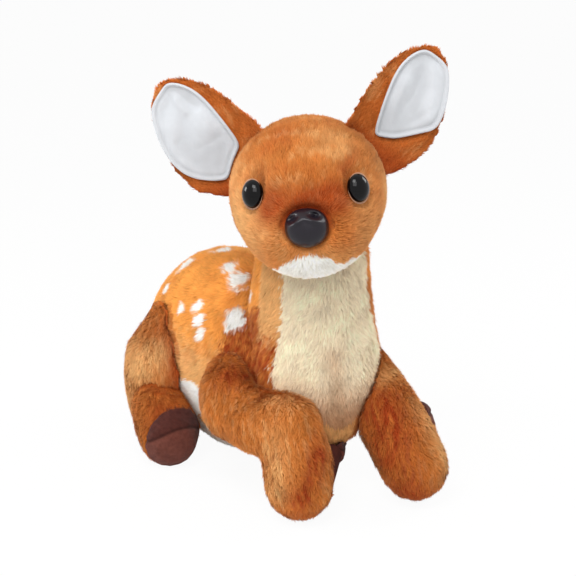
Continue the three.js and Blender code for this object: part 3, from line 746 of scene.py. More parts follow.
def sampled(form, rng, density):
    """Roots spread evenly over the open part of a skin, with what is known at each."""
    mesh = form["skin"].data
    p, n = mesh_points(mesh), mesh_normals(mesh)
    tri = mesh_triangles(mesh)
    a, b, c = p[tri[:, 0]], p[tri[:, 1]], p[tri[:, 2]]
    area = np.linalg.norm(np.cross(b - a, c - a), axis=1) / 2
    free = form["free"][tri].mean(1)
    weight = area * (free > (-1 if form["leg"] else 0.03))
    count = int(weight.sum() * density)
    pick = (np.arange(count) + rng.uniform(size=count)) / count * weight.sum()
    which = np.minimum(np.searchsorted(np.cumsum(weight), pick), len(tri) - 1)
    u, v = rng.uniform(size=(2, count))
    over = u + v > 1
    u[over], v[over] = 1 - u[over], 1 - v[over]
    share = np.stack([1 - u - v, u, v], 1)
    corner = tri[which]

    def carried(values):
        return np.einsum("ij,ij...->i...", share, values[corner])

    made = {key: carried(form[key]) for key in ("free", "room", "panel", "sky")}
    made["p"] = carried(p)
    made["n"] = unit(carried(spread(mesh, n, 3)))
    return made


def near(p, at, size):
    """1 at a point and falling to 0 over the given size, which may differ by axis."""
    return np.exp(-np.sum(((p - np.array(at)) / np.array(size)) ** 2, axis=1))


def along_line(p, a, b, wide):
    """1 on a line between two points and falling to 0 beside it."""
    return np.exp(-((to_line(p, a, b) / wide) ** 2))


def marked(p, marks):
    """The strength of spots (centre, size, strength) and lines (end, end, width, strength) at each point."""
    total = np.zeros(len(p))
    for *place, strength in marks:
        falling = near if len(place) == 2 else along_line
        total += falling(p, *place) * strength
    return total


# The way the pile lies on the forms with a plain nap
NAP_WAYS = (
    ("tail", (0.0, 0.4, -1.0)),
    ("thigh", (0.0, -0.35, -1.0)),
    ("hind_shin", (0.0, -0.40, -1.0)),
    ("_shin", (0.0, 1.0, 0.3)),
    ("foreleg", (0.0, -0.35, -1.0)),
)


def nap(name, p, n):
    """The way the pile lies."""
    if name == "head":
        nose = np.array(forms["face"]["nose"][1])
        away = unit(p - nose)
        back = np.array(head_matrix() @ Vector((0, 1, 0)))
        behind = step_between(p @ back, nose @ back + 60, nose @ back + 95)
        way = away.copy()
        way[:, 2] += 0.35 * (1 - behind) - 1.1 * behind
    elif name == "neck":
        way = everywhere([0.0, 0.25, -1.0], p)
        way[:, 0] += p[:, 0] / 90
    elif name == "torso":
        way = everywhere([0.0, 0.9, -0.35], p)
        front = step_between(-p[:, 1], -14, 12)[:, None]
        way = mixed(way, np.array([0.0, -0.35, -1.0]), front)
    elif name.startswith("ear"):
        root, tip = ear_ends(name)
        way = everywhere(tip - root, p)
    else:
        way = everywhere(next(lie for part, lie in NAP_WAYS if part in name), p)
    return flat_to(way + 1e-6, n)


def ear_ends(name):
    p = mesh_points(nodes[name].data)
    head = mesh_points(nodes["head"].data).mean(0)
    far = np.linalg.norm(p - head, axis=1)
    return p[far < np.quantile(far, 0.04)].mean(0), p[far > np.quantile(far, 0.96)].mean(0)


# Centre, length and width of each white spot, in millimetres
SPOTS = [
    (-5, 42, 124.8, 7.5, 4.5), (-20.9, 61.8, 113.9, 7.5, 5.5), (-16.8, 13.2, 122.0, 6.0, 4.5),
    (-18.5, 0.7, 118.5, 7.0, 5.0), (-26.5, -24, 118, 4.0, 3.5), (-39.7, 34.3, 95.3, 4.0, 3.3),
    (-37.0, 17.5, 100.0, 5.5, 4.2), (-39.7, 13.0, 93.4, 5.5, 4.0), (-41.0, 9.0, 87.0, 5.0, 3.4),
    (-30.1, -11.7, 100.5, 7.6, 6.6),
    (-33, 68, 99, 4.5, 3.6), (-16, 84, 104, 6.0, 4.5), (0, 68, 117, 6.0, 4.5),
    (18, 52, 119, 6.5, 4.5), (20, 26, 120, 7.0, 5.0), (16, 3, 121, 6.0, 4.5), (32, 66, 100, 6.0, 4.5),
    (38, 40, 98, 6.5, 5.0), (37, 17, 100, 6.0, 4.5), (34, -6, 100, 7.0, 5.0), (41, 24, 84, 5.0, 4.0),
    (16, 86, 102, 5.5, 4.0),
]


def spot_mask(p, way, n):
    across = np.cross(way, n)
    mask = np.zeros(len(p))
    rough = ripple(p, 7, 31) * 0.13 + ripple(p, 3, 32) * 0.10
    for x, y, z, long, wide in SPOTS:
        d = p - np.array([x, y, z])
        axes = ((way, long), (across, wide), (n, 12))
        far = np.sqrt(sum((dots(d, axis)[:, 0] / half) ** 2 for axis, half in axes))
        mask = np.maximum(mask, 1 - step_between(far + rough, 0.74, 1.24))
    return mask


# Reddish and pale marks of the pile, as marked() takes them: partly the pile's own streaks and patches,
# partly painted shade in creases, at the eye corners and on faces turned from the lamps, and painted light on
# cheeks and the tops of the legs. Those of the hind leg are mirrored for the left
MARKS = {
    "head": {
        "red": [
            ((-49.5, -86, 186), (13, 8, 10), 1), ((-21, -106.5, 190), (9, 9, 9), 1),
            ((-37, -101, 190), (13, 8, 7), 0.8), ((-13, -100, 203), (4, -91, 210), 2.8, 0.6),
            ((-33, -98, 186), (7, 6, 4), 0.8), ((-29, -64, 218), (9, 9, 8), 0.4),
        ],
        "pale": [
            ((-56, -66, 174), (14, 26, 26), 1), ((-2, -108, 176), (14, 12, 20), 0.55),
            ((24, -84, 176), (13, 24, 20), 0.8), ((-30, -105, 158), (26, 16, 9), 0.55),
            ((-8, -84, 216), (15, 15, 12), 0.5),
        ],
    },
    "thigh": {
        "red": [((-47, 44, 82), (14, 16, 10), 0.55), ((-47, 30, 72), (-47, 27, 50), 9, 0.8)],
        "pale": [((-56, 40, 68), (-62, 56, 54), 12, 1)],
        "rear": [((-60, 70, 60), (-58, 80, 30), 14, 0.6)],
    },
    "hind_shin": {"red": [((-62, 16, 36), (13, 16, 16), 0.75)]},
    "foreleg_right": {
        "red": [((-24, -99, 52), (-42, -105, 20), 7.5, 0.75), ((-45, -36, 74), (14, 12, 10), 0.8)],
        "pale": [((-52, -88, 58), (-51, -93, 24), 8, 0.6), ((-32, -74, 72), (14, 10, 8), 0.6)],
    },
    "foreleg_left": {
        "red": [((26, -92, 62), (30, -113, 14), 11, 0.85), ((15, -86, 55), (17, -100, 30), 8, 0.5)],
        "pale": [((24, -82, 72), (44, -76, 74), 5, 0.6), ((46, -100, 56), (50, -118, 24), 8, 0.7)],
    },
}
# The crease down the bib, and half the width and half the height of an eye and of the nose
BIB_CREASE = ((-3, -79, 92), (-2.5, -82, 46))
EYE_HALF = (7.2, 8.5)
NOSE_HALF = (11.9, 10.8)
FITTINGS = ("eye_right", "eye_left", "nose")
# Points farther behind a fitting than this, in millimetres, are on another side of the head
FITTING_REACH = -14


def around(part, p):
    """Points in the frame of an eye or the nose, and how far across, up and out, which is 1 at its rim."""
    turned, at = forms["face"][part]
    local = (p - np.array(at)) @ np.array(turned)
    half = NOSE_HALF if part == "nose" else EYE_HALF
    u, v = local[:, 0] / half[0], local[:, 1] / half[1]
    return local, u, v, np.sqrt(u * u + v * v)


def panel_tones(p, panel, shade):
    if panel == "bib_panel":
        # Painted shade: darker towards the lower end between the legs and along the crease, and towards tan
        # where little sky is open
        rgb = mixed(everywhere(tint("bib"), p), tint("bib_shade"), step_between(84 - p[:, 2], 0, 38))
        rgb = mixed(rgb, tint("bib_shade") * 0.86, along_line(p, *BIB_CREASE, 6) * 0.4)
        return mixed(rgb, tint("tan"), shade * 0.22), np.full(len(p), 0.99)
    # Painted shade on the chin and belly, towards bib shade where little sky is open
    rgb = everywhere(tint("chin" if panel == "chin_panel" else "white"), p)
    return mixed(rgb, tint("bib_shade"), shade * 0.3), np.full(len(p), 0.93)


def head_tones(rgb, p, patchy, fine):
    """Darker towards the top, with reddish and pale marks that are partly painted shade and painted light,
    and dark rims at the eyes and the nose.
    """
    tan, deep = tint("tan"), tint("deep")
    up = step_between(p[:, 2], 172, 204)
    rgb = rgb * mixed(everywhere([1.0, 0.97, 0.96], p), np.array([0.80, 0.77, 0.76]), up)
    # Pale marks: paler fur, and painted light on the cheeks and the muzzle
    rgb = mixed(rgb, tan, np.clip(marked(p, MARKS["head"]["pale"]), 0, 1) * 0.8)
    rgb = mixed(rgb, tan, step_between(patchy + fine * 0.4, 0.1, 1.3) * 0.4)
    rgb = mixed(rgb, deep, step_between(-patchy - fine * 0.5, 0.2, 1.5) * 0.22)
    # Reddish marks: reddish fur, and painted shade in the crease above the eye, at the eye corners and beside
    # the nose
    rgb = mixed(rgb, deep, np.clip(marked(p, MARKS["head"]["red"]) * 1.3, 0, 1) * 0.82)
    for part in FITTINGS:
        local, u, v, far = around(part, p)
        if part == "nose":
            dark = (1 - step_between(far, 1.02, 1.5)) * step_between(v, 0.1, 0.9) * 0.9
            dark += (1 - step_between(far, 1.0, 1.16)) * 0.5
        else:
            inner = u if part == "eye_right" else -u
            dark = (1 - step_between(far, 1.02, 1.42)) * (0.30 + 0.30 * step_between(inner, -0.3, 0.8))
        rgb = mixed(rgb, deep * 0.22, np.clip(dark, 0, 1) * (local[:, 2] > FITTING_REACH) * 0.85)
    return rgb


def body_tones(name, p, n, way, patchy, fine):
    """The saddle with its spots, tan flanks, mottled shoulders and the strips beside the bib."""
    brown, tan, deep = tint("brown"), tint("tan"), tint("deep")
    rgb = everywhere(tint("saddle"), p)
    rgb = mixed(rgb, tan, step_between(90 - p[:, 2] + fine * 4, 0, 26) * 0.85)
    rgb = mixed(rgb, deep, step_between(-patchy - fine * 0.5, 0.2, 1.4) * 0.26)
    feather = ripple(p, 4.5, 61) * 1.6 + ripple(p, 2.2, 62) * 1.4
    down = step_between(106 - p[:, 2] - (p[:, 1] + 20) * 0.55 + feather, 0, 3)
    ahead = step_between(-8 - p[:, 1] + feather, 0, 3)
    shoulder = down * ahead * step_between(np.abs(p[:, 0]), 14, 20)
    rgb = mixed(rgb, mixed(everywhere(brown, p), deep, np.clip(0.58 + fine * 0.42, 0, 1)), shoulder)
    strip = step_between(-40 - p[:, 1], 0, 3) * step_between(p[:, 2] + feather * 1.6, 90, 108)
    rgb = mixed(rgb, tan, strip * (p[:, 0] < 0) * 0.95)
    rgb = mixed(rgb, brown, step_between(-20 - p[:, 1], 0, 8) * (p[:, 0] > 12) * 0.7)
    if name == "neck":
        rgb = mixed(rgb, brown, step_between(p[:, 1], -26, -16) * 0.6)
    mask = spot_mask(p, way, n)
    # Roots darker as painted shade among the tufts, less so on the white spots
    return mixed(rgb, tint("white"), mask), 0.76 + mask * 0.26


def leg_tones(name, rgb, p, patchy, fine):
    """Streaks of tan and deep red on one leg piece, partly the pile's own and partly painted light on the
    tops and painted shade in creases and on faces turned from the lamps.
    """
    tan, deep = tint("tan"), tint("deep")
    marks = MARKS[next(part for part in MARKS if name.startswith(part))]
    soft = np.clip(fine, 0, 1)
    if name.startswith("foreleg"):
        pale, red = marked(p, marks["pale"]), marked(p, marks["red"])
        rgb = mixed(rgb, tan, np.clip(pale + np.clip(fine - 0.1, 0, 1) * 0.35, 0, 1))
        low = np.clip(-patchy - 0.3, 0, 1) * 0.25
        return mixed(rgb, deep, np.clip(red * (1 + fine * 0.35) + low, 0, 1))
    q = np.where(p[:, :1] > 0, p * np.array([-1, 1, 1]), p)
    red = marked(q, marks["red"])
    if name.startswith("hind_shin"):
        return mixed(rgb, deep, red + 0.2 * soft)
    rgb = mixed(rgb, tan, np.clip(marked(q, marks["pale"]) * (1.0 + fine * 0.3), 0, 1))
    rgb = mixed(rgb, tan, marked(q, marks["rear"]) + soft * 0.3)
    return mixed(rgb, deep, np.clip(red, 0, 1))


def tones(name, p, n, way, panel, sky):
    """The colour of the tips at each root, with painted shade where little sky is open, and how dark the
    roots are, which is painted shade among the tufts.
    """
    # Painted shade: where little sky is open, in folds, creases and under the body
    shade = 1 - step_between(sky, 0.10, 0.62)
    if panel:
        return panel_tones(p, panel, shade)
    deep = tint("deep")
    patchy = ripple(p, 28, 21) * 0.5 + ripple(p, 12, 22) * 0.35
    lie = unit(way.mean(0))
    flat = p - (p @ lie)[:, None] * lie * 0.8
    fine = ripple(flat, 5, 23) * 0.5 + ripple(flat, 2.6, 24) * 0.5
    rgb = everywhere(tint("brown"), p)
    # How dark the roots are: painted shade among the tufts
    root = np.full(len(p), 0.74)
    if name == "head":
        rgb = head_tones(rgb, p, patchy, fine)
    elif name in ("torso", "neck"):
        rgb, root = body_tones(name, p, n, way, patchy, fine)
    elif name.startswith("ear"):
        pale = step_between(patchy + fine * 0.5, 0.0, 1.5) * 0.35
        rgb = mixed(everywhere(tint("ear"), p), tint("tan"), pale)
        base, tip = ear_ends(name)
        rgb = mixed(rgb, deep, step_between(16 - (p - base) @ unit(tip - base), 0, 16) * 0.7)
    elif name != "tail":
        rgb = leg_tones(name, rgb, p, patchy, fine)
    # Painted shade towards deep red, except on white pile
    return mixed(rgb, deep, shade * 0.5 * (1 - (rgb[:, 2] > 0.55))), root


# Where the suede of a folded foreleg starts: a point, and the way to the hoof
SUEDE_ENDS = {
    "foreleg_right_shin": ((-13, -80, 25), (1, 0, 0)),
    "foreleg_left_shin": ((40, -82, 25), (0, 1, 0)),
}


def past_suede(name, p):
    """How far each point of a folded shin is past the start of its suede, in millimetres."""
    at, toward = SUEDE_ENDS[name]
    return (p - np.array(at)) @ np.array(toward)


def panel_edge(name, p, panel):
    """The share of panel, with the chin and the belly a little wider than their frame pieces."""
    if name == "head":
        return np.maximum(panel, 6 - to_line(p, (-12, -103, 150), (1, -94, 150)) * 1.1)
    if name == "torso":
        return np.maximum(panel, 13 - to_line(p, (-46, 12, 42), (-46, 24, 40)))
    return panel


def paint_ground(name, form):
    """The cloth under the pile, in a darker, warmer version of the pile's colours with their painted shade,
    which is painted shade among the roots.
    """
    mesh = form["skin"].data
    p, n = mesh_points(mesh), mesh_normals(mesh)
    way = nap(name, p, n)
    rgb = tones(name, p, n, way, None, form["sky"])[0] * np.array([0.78, 0.68, 0.60])
    if name in PANELS:
        pale = tones(name, p, n, way, PANELS[name][0], form["sky"])[0] * 0.88
        rgb = mixed(rgb, pale, step_between(panel_edge(name, p, form["panel"]), -0.5, 0.5))
    if name in SUEDE_ENDS:
        rgb = mixed(rgb, tint("suede_dark"), step_between(past_suede(name, p), -0.6, 0.6))
    paint(mesh, "ground_colour", rgb)


def pile_pieces(name, form, p, edge):
    """The title, chosen roots, panel and slot of each piece of a form's pile. Two forms have one a side."""
    title, main = name + "_pile", edge <= 0
    halves = [(title, main, None, form["slot"])]
    if name in ("torso", "head"):
        aside = head_matrix().col[0] if name == "head" else (1, 0, 0)
        across = (p - node_centre(name)) @ np.array(aside)
        halves = [
            (title + "_right", main & (across <= 0), None, form["slot"]),
            (title + "_left", main & (across > 0), None, form["slot"]),
        ]
    if name not in PANELS:
        return halves
    panel, slot = PANELS[name]
    piece = (panel.replace("_panel", "_pile"), edge > 0, panel, slot)
    return [piece, *halves] if len(halves) > 1 else [*halves, piece]


def combed(name, s, rng, pile, lean):
    """The way, length and tilt of each tuft, which lies clear of the eyes and the nose."""
    p, n = s["p"], s["n"]
    way = nap(name, p, n)
    turn = ripple(p, 24, 41) * 0.20 + ripple(p, 8, 42) * 0.12 + rng.normal(0, 0.14, len(p))
    way = unit(way * np.cos(turn)[:, None] + np.cross(n, way) * np.sin(turn)[:, None])
    long = pile / MM * (1 + ripple(p, 9, 43) * 0.05 + rng.normal(0, 0.10, len(p)))
    long *= 0.7 + 0.3 * np.clip(s["room"] / 8, 0, 1)
    long *= 0.5 + 0.5 * step_between(s["free"], 0, 0.3)
    tilt = lean * (0.7 if name.startswith("ear") else 1) + rng.normal(0, 0.09, len(p))
    tilt += ripple(p, 6, 44) * 0.05
    for part in FITTINGS if name == "head" else ():
        turned = np.array(forms["face"][part][0])
        local, _, _, far = around(part, p)
        ahead = local[:, 2] > FITTING_REACH
        away = flat_to(np.stack([local[:, 0], local[:, 1], local[:, 2] * 0], 1) @ turned.T, n)
        close = (1 - step_between(far, 1.0, 1.8 if part == "nose" else 1.6)) * ahead
        way = flat_to(way * (1 - close)[:, None] + away * (close * 1.2)[:, None], n)
        long *= 1 - 0.5 * close
        tilt -= close * 0.05
        under = (far < 0.93) & ahead
        way[under] = away[under]
        long[under] = 0.01
    return way, long, tilt


def grow(name, form, rng, density, strand, pile, lean):
    """The pile of one form, in a piece or two for its main cloth and one for its panel."""
    paint_ground(name, form)
    s = sampled(form, rng, density)
    is_ear = name.startswith("ear")
    clump = 0.15 if is_ear else 1.0 if form["slot"] == "saddle_fur" else 0.5
    below = (s["p"][:, 2] < 1.6) & (s["n"][:, 2] < -0.5)
    keep = ((s["free"] > 0.06) | form["leg"]) & ~below
    if is_ear:
        # An ear has pile on its back and its rim, where its lining isn't near
        keep &= gaps_to_sheet(forms[name + "_sheet"], s["p"]) > 1.9
    if name in SUEDE_ENDS:
        keep &= past_suede(name, s["p"]) < 0
    s = {key: values[keep] for key, values in s.items()}
    way, long, tilt = combed(name, s, rng, pile, lean)
    clear = long > 0.5
    p, n, way, long, tilt = s["p"][clear], s["n"][clear], way[clear], long[clear], tilt[clear]
    panel, sky = s["panel"][clear], s["sky"][clear]
    wide = strand / MM * (1 + rng.normal(0, 0.15, len(p)))
    edge = panel_edge(name, p, panel) + ripple(p, 5, 45) * 0.4 + rng.normal(0, 0.4, len(p))
    for title, chosen, part, slot in pile_pieces(name, form, p, edge):
        if not chosen.any():
            continue
        chosen = chosen & (rng.uniform(size=len(p)) < MOST_TUFTS / max(chosen.sum(), MOST_TUFTS))
        q, m, w = p[chosen], n[chosen], way[chosen]
        tip, dark = tones(name, q, m, w, part, sky[chosen])
        shade = 1 + ripple(q, 16, 46) * 0.04 + rng.normal(0, 0.06, len(q))
        look = (tip, dark, shade)
        pile_mesh = blades(title, q, m, w, long[chosen], wide[chosen], tilt[chosen], look, rng, clump * 0.7)
        pile_mesh.data.materials.append(pile_material())
        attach(pile_mesh, form["body"])


def pile_material():
    return material(
        "Pile", attribute="pile_colour", mottle=(90, 0.05),
        Roughness=0.8, Sheen_Weight=0.4, Sheen_Roughness=0.4,
        Sheen_Tint=(*linear(255, 214, 160), 1), Specular_IOR_Level=0.08,
    )


# Operators


class FAWN_OT_skins(bpy.types.Operator):
    """Skins of the stuffed forms, a little inside the outline of the pile"""

    bl_idname = "fawn.skins"
    bl_label = "Skins"

    def execute(self, context):
        s = sizes()
        forms["face"] = face_places()
        ground = material(
            "Woven ground", attribute="ground_colour", mottle=(200, 0.15),
            Roughness=0.9, Specular_IOR_Level=0.1,
        )
        for name, (parts, slot, pile) in FORM_TABLE.items():
            thin = name.startswith("ear")
            small = "shin" in name or name == "tail"
            skin = make_skin(name + "_skin", parts, s.voxel * (0.6 if thin or small else 1))
            mesh = skin.data
            free, room, sky = exposure(mesh, parts)
            panel = panel_share(mesh, *parts) if name in PANELS else np.full(len(mesh.vertices), -9.0)
            if thin:
                forms[name + "_sheet"] = front_sheet(nodes[name + "_lining"], name)
            set_points(mesh, shaped(name, mesh, free, s.inset / MM * (0.55 if thin else 0.8 if small else 1)))
            mesh.materials.append(ground)
            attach(skin, body_of(parts[0]))
            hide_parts(*(parts[:1] if thin else parts))
            forms[name] = {
                "skin": skin, "free": spread(mesh, free, 2), "room": room, "sky": sky, "panel": panel,
                "slot": slot, "body": body_of(parts[0]), "pile": pile, "leg": name in LEGS,
            }
        return {"FINISHED"}


class FAWN_OT_pile(bpy.types.Operator):
    """Pile of every form, one tuft at a time"""

    bl_idname = "fawn.pile"
    bl_label = "Pile"

    def execute(self, context):
        s = sizes()
        density, strand = s.density, s.strand
        for order, name in enumerate(FORM_TABLE):
            form = forms[name]
            rng = np.random.default_rng(s.seed + order)
            grow(name, form, rng, density, strand, getattr(s, form["pile"]), s.lean)
        return {"FINISHED"}


def eye_dome(name, place):
    """The front half of an oval ball, closed a little behind the seat of the eye."""
    s = sizes()
    bm = bmesh.new()
    bmesh.ops.create_uvsphere(bm, u_segments=48, v_segments=32, radius=1)
    bmesh.ops.scale(bm, verts=bm.verts, vec=(s.eye_radius, s.eye_half, s.eye_dome))
    bmesh.ops.bisect_plane(
        bm, geom=whole(bm), plane_co=(0, 0, -1.4 * MM), plane_no=(0, 0, -1), clear_outer=True
    )
    bmesh.ops.contextual_create(bm, geom=[e for e in bm.edges if e.is_boundary])
    bmesh.ops.transform(bm, matrix=place, verts=bm.verts)
    return mesh_from(bm, name + "_dome")


def eye_ring(name, place):
    """A round ring at the edge of a dome, set a little outward and down."""
    s = sizes()
    bm = bmesh.new()
    bmesh.ops.create_circle(bm, segments=12, radius=0.52 * MM)
    bmesh.ops.rotate(bm, verts=bm.verts, matrix=Matrix.Rotation(math.pi / 2, 3, "X"))
    bmesh.ops.translate(bm, verts=bm.verts, vec=(s.eye_radius + 0.15 * MM, 0, -0.2 * MM))
    bmesh.ops.spin(
        bm, geom=whole(bm), cent=(0, 0, 0), axis=(0, 0, 1), angle=2 * math.pi, steps=48, use_merge=True
    )
    bmesh.ops.scale(bm, verts=bm.verts, vec=(1, s.eye_half / s.eye_radius, 1))
    outer = -0.65 if name == "eye_right" else 0.65
    bmesh.ops.translate(bm, verts=bm.verts, vec=(outer * MM, -0.35 * MM, 0.1 * MM))
    bmesh.ops.recalc_face_normals(bm, faces=bm.faces)
    bmesh.ops.transform(bm, matrix=place, verts=bm.verts)
    return mesh_from(bm, name + "_rim")


class FAWN_OT_eyes(bpy.types.Operator):
    """Glossy domes with their pale rims"""

    bl_idname = "fawn.eyes"
    bl_label = "Eyes"

    def execute(self, context):
        c = colours()
        black = material("Eye", tuple(c.eye), mottle=(40, 0.0), Roughness=0.03, Specular_IOR_Level=0.20)
        rim = material("Eye rim", tuple(c.eye_rim), mottle=(300, 0.2), Roughness=0.4)
        for name in ("eye_right", "eye_left"):
            turned, at = forms["face"][name]
            place = Matrix.Translation(at * MM) @ turned.to_4x4()
            dome = shown(eye_dome(name, place), black)
            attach(dome, "head")
            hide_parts(name)
            ring = shown(eye_ring(name, place), rim)
            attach(ring, "head")
        return {"FINISHED"}


def nose_relief(across, high):
    """Two slanted nostrils, a lip under each and a soft middle, at places that are 1 at the nose's rim."""
    shape = np.zeros(len(across))
    for side in (-1, 1):
        u, v = across * side - 0.54, high - 0.56
        slant, rise = u * 0.88 - v * 0.47, v * 0.88 + u * 0.47
        dent = np.exp(-((slant / 0.25) ** 2 + (rise / 0.14) ** 2))
        lip = np.exp(-(((slant + 0.02) / 0.36) ** 2 + ((rise + 0.27) / 0.12) ** 2))
        shape += lip * 0.17 - dent * 0.42
    return shape + np.exp(-((across / 0.22) ** 2 + ((high - 0.46) / 0.30) ** 2)) * 0.07


class FAWN_OT_nose(bpy.types.Operator):
    """Moulded nose with two nostrils"""

    bl_idname = "fawn.nose"
    bl_label = "Nose"

    def execute(self, context):
        s, c = sizes(), colours()
        turned, at = forms["face"]["nose"]
        bm = bmesh.new()
        bmesh.ops.create_uvsphere(bm, u_segments=96, v_segments=64, radius=1)
        mesh = mesh_from(bm, "nose_shell")
        p = mesh_points(mesh) * MM
        x, y, z = p[:, 0].copy(), p[:, 1].copy(), p[:, 2].copy()
        # Fuller at the top corners
        square = (np.abs(x) ** 2.25 + np.abs(y) ** 2.25 + 1e-9) ** (1 / 2.25)
        fuller = np.where(y > 0, np.sqrt(x * x + y * y + 1e-9) / square, 1)
        x, y = x * fuller, y * fuller * np.where(y > 0, 0.96, 1)
        turn = math.radians(7)
        across = x * math.cos(turn) + y * math.sin(turn) + 0.06
        high = y * math.cos(turn) - x * math.sin(turn)
        z = np.maximum(z + np.where(z > 0, nose_relief(across, high), 0), -0.25)
        p = np.stack([x * s.nose_width / 2, y * s.nose_height / 2, z * s.nose_depth], 1)
        p = p @ np.array(turned).T + np.array(at) * MM
        set_points(mesh, p / MM)
        plastic = material(
            "Nose", tuple(c.nose), mottle=(120, 0.12), grain=(1500, 0.00004, 1),
            Roughness=0.30, Specular_IOR_Level=0.34,
        )
        made = shown(mesh, plastic)
        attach(made, "head")
        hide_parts("nose")
        return {"FINISHED"}


def knit_relief(name, sheet, hem):
    """Gives a lining's sheet its rolled hem, groove and folds, and paints it, with painted shade in the
    groove, in low folds and towards the root, and painted light on the hem and high folds.
    """
    p, n = mesh_points(sheet), mesh_normals(sheet)
    edge = [p[i] for e in sheet.edges for i in e.vertices if e.use_seam]
    tree = KDTree(len(edge))
    for i, v in enumerate(edge):
        tree.insert(v, i)
    tree.balance()
    gap = np.array([tree.find(Vector(v))[2] for v in p])
    roll = np.exp(-(((gap - hem * 0.45) / (hem * 0.42)) ** 2)) * 1.2
    groove = np.exp(-(((gap - hem * 1.15) / 0.8) ** 2))
    inside = step_between(gap, 2, 10)
    soft = ripple(p, 30, 51) * 0.9 + ripple(p, 14, 52) * 0.3
    outer = (p[:, 0] - p[:, 0].mean()) * (-1 if name == "ear_right" else 1)
    roll *= 1 - 0.7 * step_between(outer, 4, 16)
    for form, a, b, wide, deep in FOLDS:
        if form == name:
            soft += deep * along_line(p, a, b, wide)
    rise = roll - groove * 0.4 + np.maximum(soft, -0.5) * inside + 0.3
    set_points(sheet, p + n * rise[:, None])
    root, tip = ear_ends(name)
    along = (p - root) @ unit(tip - root) / np.linalg.norm(tip - root)
    # Painted shade darker towards the root, in the groove and in low folds; painted light on the hem and high
    # folds
    tone = 0.84 + 0.16 * step_between(along, 0.0, 0.7) + np.clip(soft, -1.4, 1.4) * 0.06 * inside
    tone = tone - groove * 0.10 + roll * 0.03
    paint(sheet, "knit_colour_with_shading", tint("lining") * tone[:, None])


class FAWN_OT_linings(bpy.types.Operator):
    """Smooth knit linings of the ears, with their rolled hems and folds"""

    bl_idname = "fawn.linings"
    bl_label = "Ear linings"

    def execute(self, context):
        hem = sizes().hem / MM
        knit = material(
            "White knit", attribute="knit_colour_with_shading", mottle=(160, 0.04), grain=(2600, 0.00006, 0.4),
            Roughness=0.85, Sheen_Weight=0.2,
        )
        for name in ("ear_right", "ear_left"):
            node = name + "_lining"
            sheet = forms[name + "_sheet"]
            made = add_object(name + "_knit_source", sheet)
            knit_relief(name, sheet, hem)
            thick = made.modifiers.new("thick", "SOLIDIFY")
            thick.thickness = 0.9 * MM
            thick.offset = -1
            finer = made.modifiers.new("finer", "SUBSURF")
            finer.levels = finer.render_levels = 1
            made = settled(made, name + "_knit")
            smooth_faces(made.data)
            made.data.materials.append(knit)
            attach(made, body_of(node))
            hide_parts(node)
        return {"FINISHED"}


# The way both ear linings face
EAR_FRONT = (-0.45, -0.89, 0.0)
# Two cuts for the lower end of the left lining, each a point in millimetres and the way that goes
LEFT_LINING_CUTS = (((30, 0, 208.6), (0.30, 0, -1)), ((48, 0, 209.0), (-0.22, 0, -1)))
# Longest edge of a lining's grid, in millimetres, and the steepest turn that its front goes over
LONGEST = 1.3
STEEPEST = math.radians(38)
# Folds of the ear linings: form, two ends, width and height, in millimetres
FOLDS = [
    ("ear_right", (-64.5, -8, 242), (-54, -14, 230), 2.6, -1.3),
    ("ear_right", (-66, -6, 236), (-60, -10, 226), 2.4, 1.0),
    ("ear_right", (-66, -6, 203), (-57, -10, 192), 3.2, 1.3),
    ("ear_right", (-60, -9, 207), (-52, -14, 197), 3.0, -1.0),
    ("ear_left", (47, -83, 214), (60, -90, 222), 2.6, 1.3),
    ("ear_left", (44, -81, 219), (58, -89, 229), 2.6, -1.0),
    ("ear_left", (33, -75, 246), (32, -74, 216), 3.0, -1.2),
]


def finer_grid(bm):
    """Halves the edges over LONGEST and leaves triangles."""
    long = [e for e in bm.edges if e.calc_length() > LONGEST * MM]
    bmesh.ops.subdivide_edges(bm, edges=long, cuts=1)
    bmesh.ops.triangulate(bm, faces=bm.faces[:])


def front_sheet(node, ear):
    """The front of a lining as an open sheet with an even grid, its rim marked as a seam."""
    front = Vector(EAR_FRONT)
    bm = bmesh.new()
    bm.from_mesh(node.data)
    bmesh.ops.remove_doubles(bm, verts=bm.verts, dist=0.02 * MM)
    bm.normal_update()
    first = max(bm.faces, key=lambda f: f.normal.dot(front) * f.calc_area() ** 0.1)
    chosen, line = {first}, [first]
    while line:
        face = line.pop()
        for edge in face.edges:
            for other in edge.link_faces:
                if other in chosen or edge.calc_face_angle(3) >= STEEPEST or other.normal.dot(front) <= 0.05:
                    continue
                chosen.add(other)
                line.append(other)
    bmesh.ops.delete(bm, geom=[f for f in bm.faces if f not in chosen], context="FACES")
    if ear == "ear_left":
        # The lower end of this lining stops at a hem, with pile under it
        for co, no in LEFT_LINING_CUTS:
            bmesh.ops.bisect_plane(
                bm, geom=whole(bm), plane_co=Vector(co) * MM, plane_no=no, clear_outer=True
            )
    for _ in range(3):
        finer_grid(bm)
    rim = [v for v in bm.verts if v.is_boundary]
    inner = [v for v in bm.verts if not v.is_boundary]
    for _ in range(40):
        moved = {}
        for v in rim:
            ends = [e.other_vert(v).co for e in v.link_edges if e.is_boundary]
            moved[v] = v.co * 0.5 + sum(ends, Vector()) / len(ends) * 0.5
        for v, co in moved.items():
            v.co = co
        bmesh.ops.smooth_vert(bm, verts=inner, factor=0.5, use_axis_x=True, use_axis_y=True, use_axis_z=True)
    for edge in bm.edges:
        edge.seam = edge.is_boundary
    return mesh_from(bm, node.name + "_sheet")


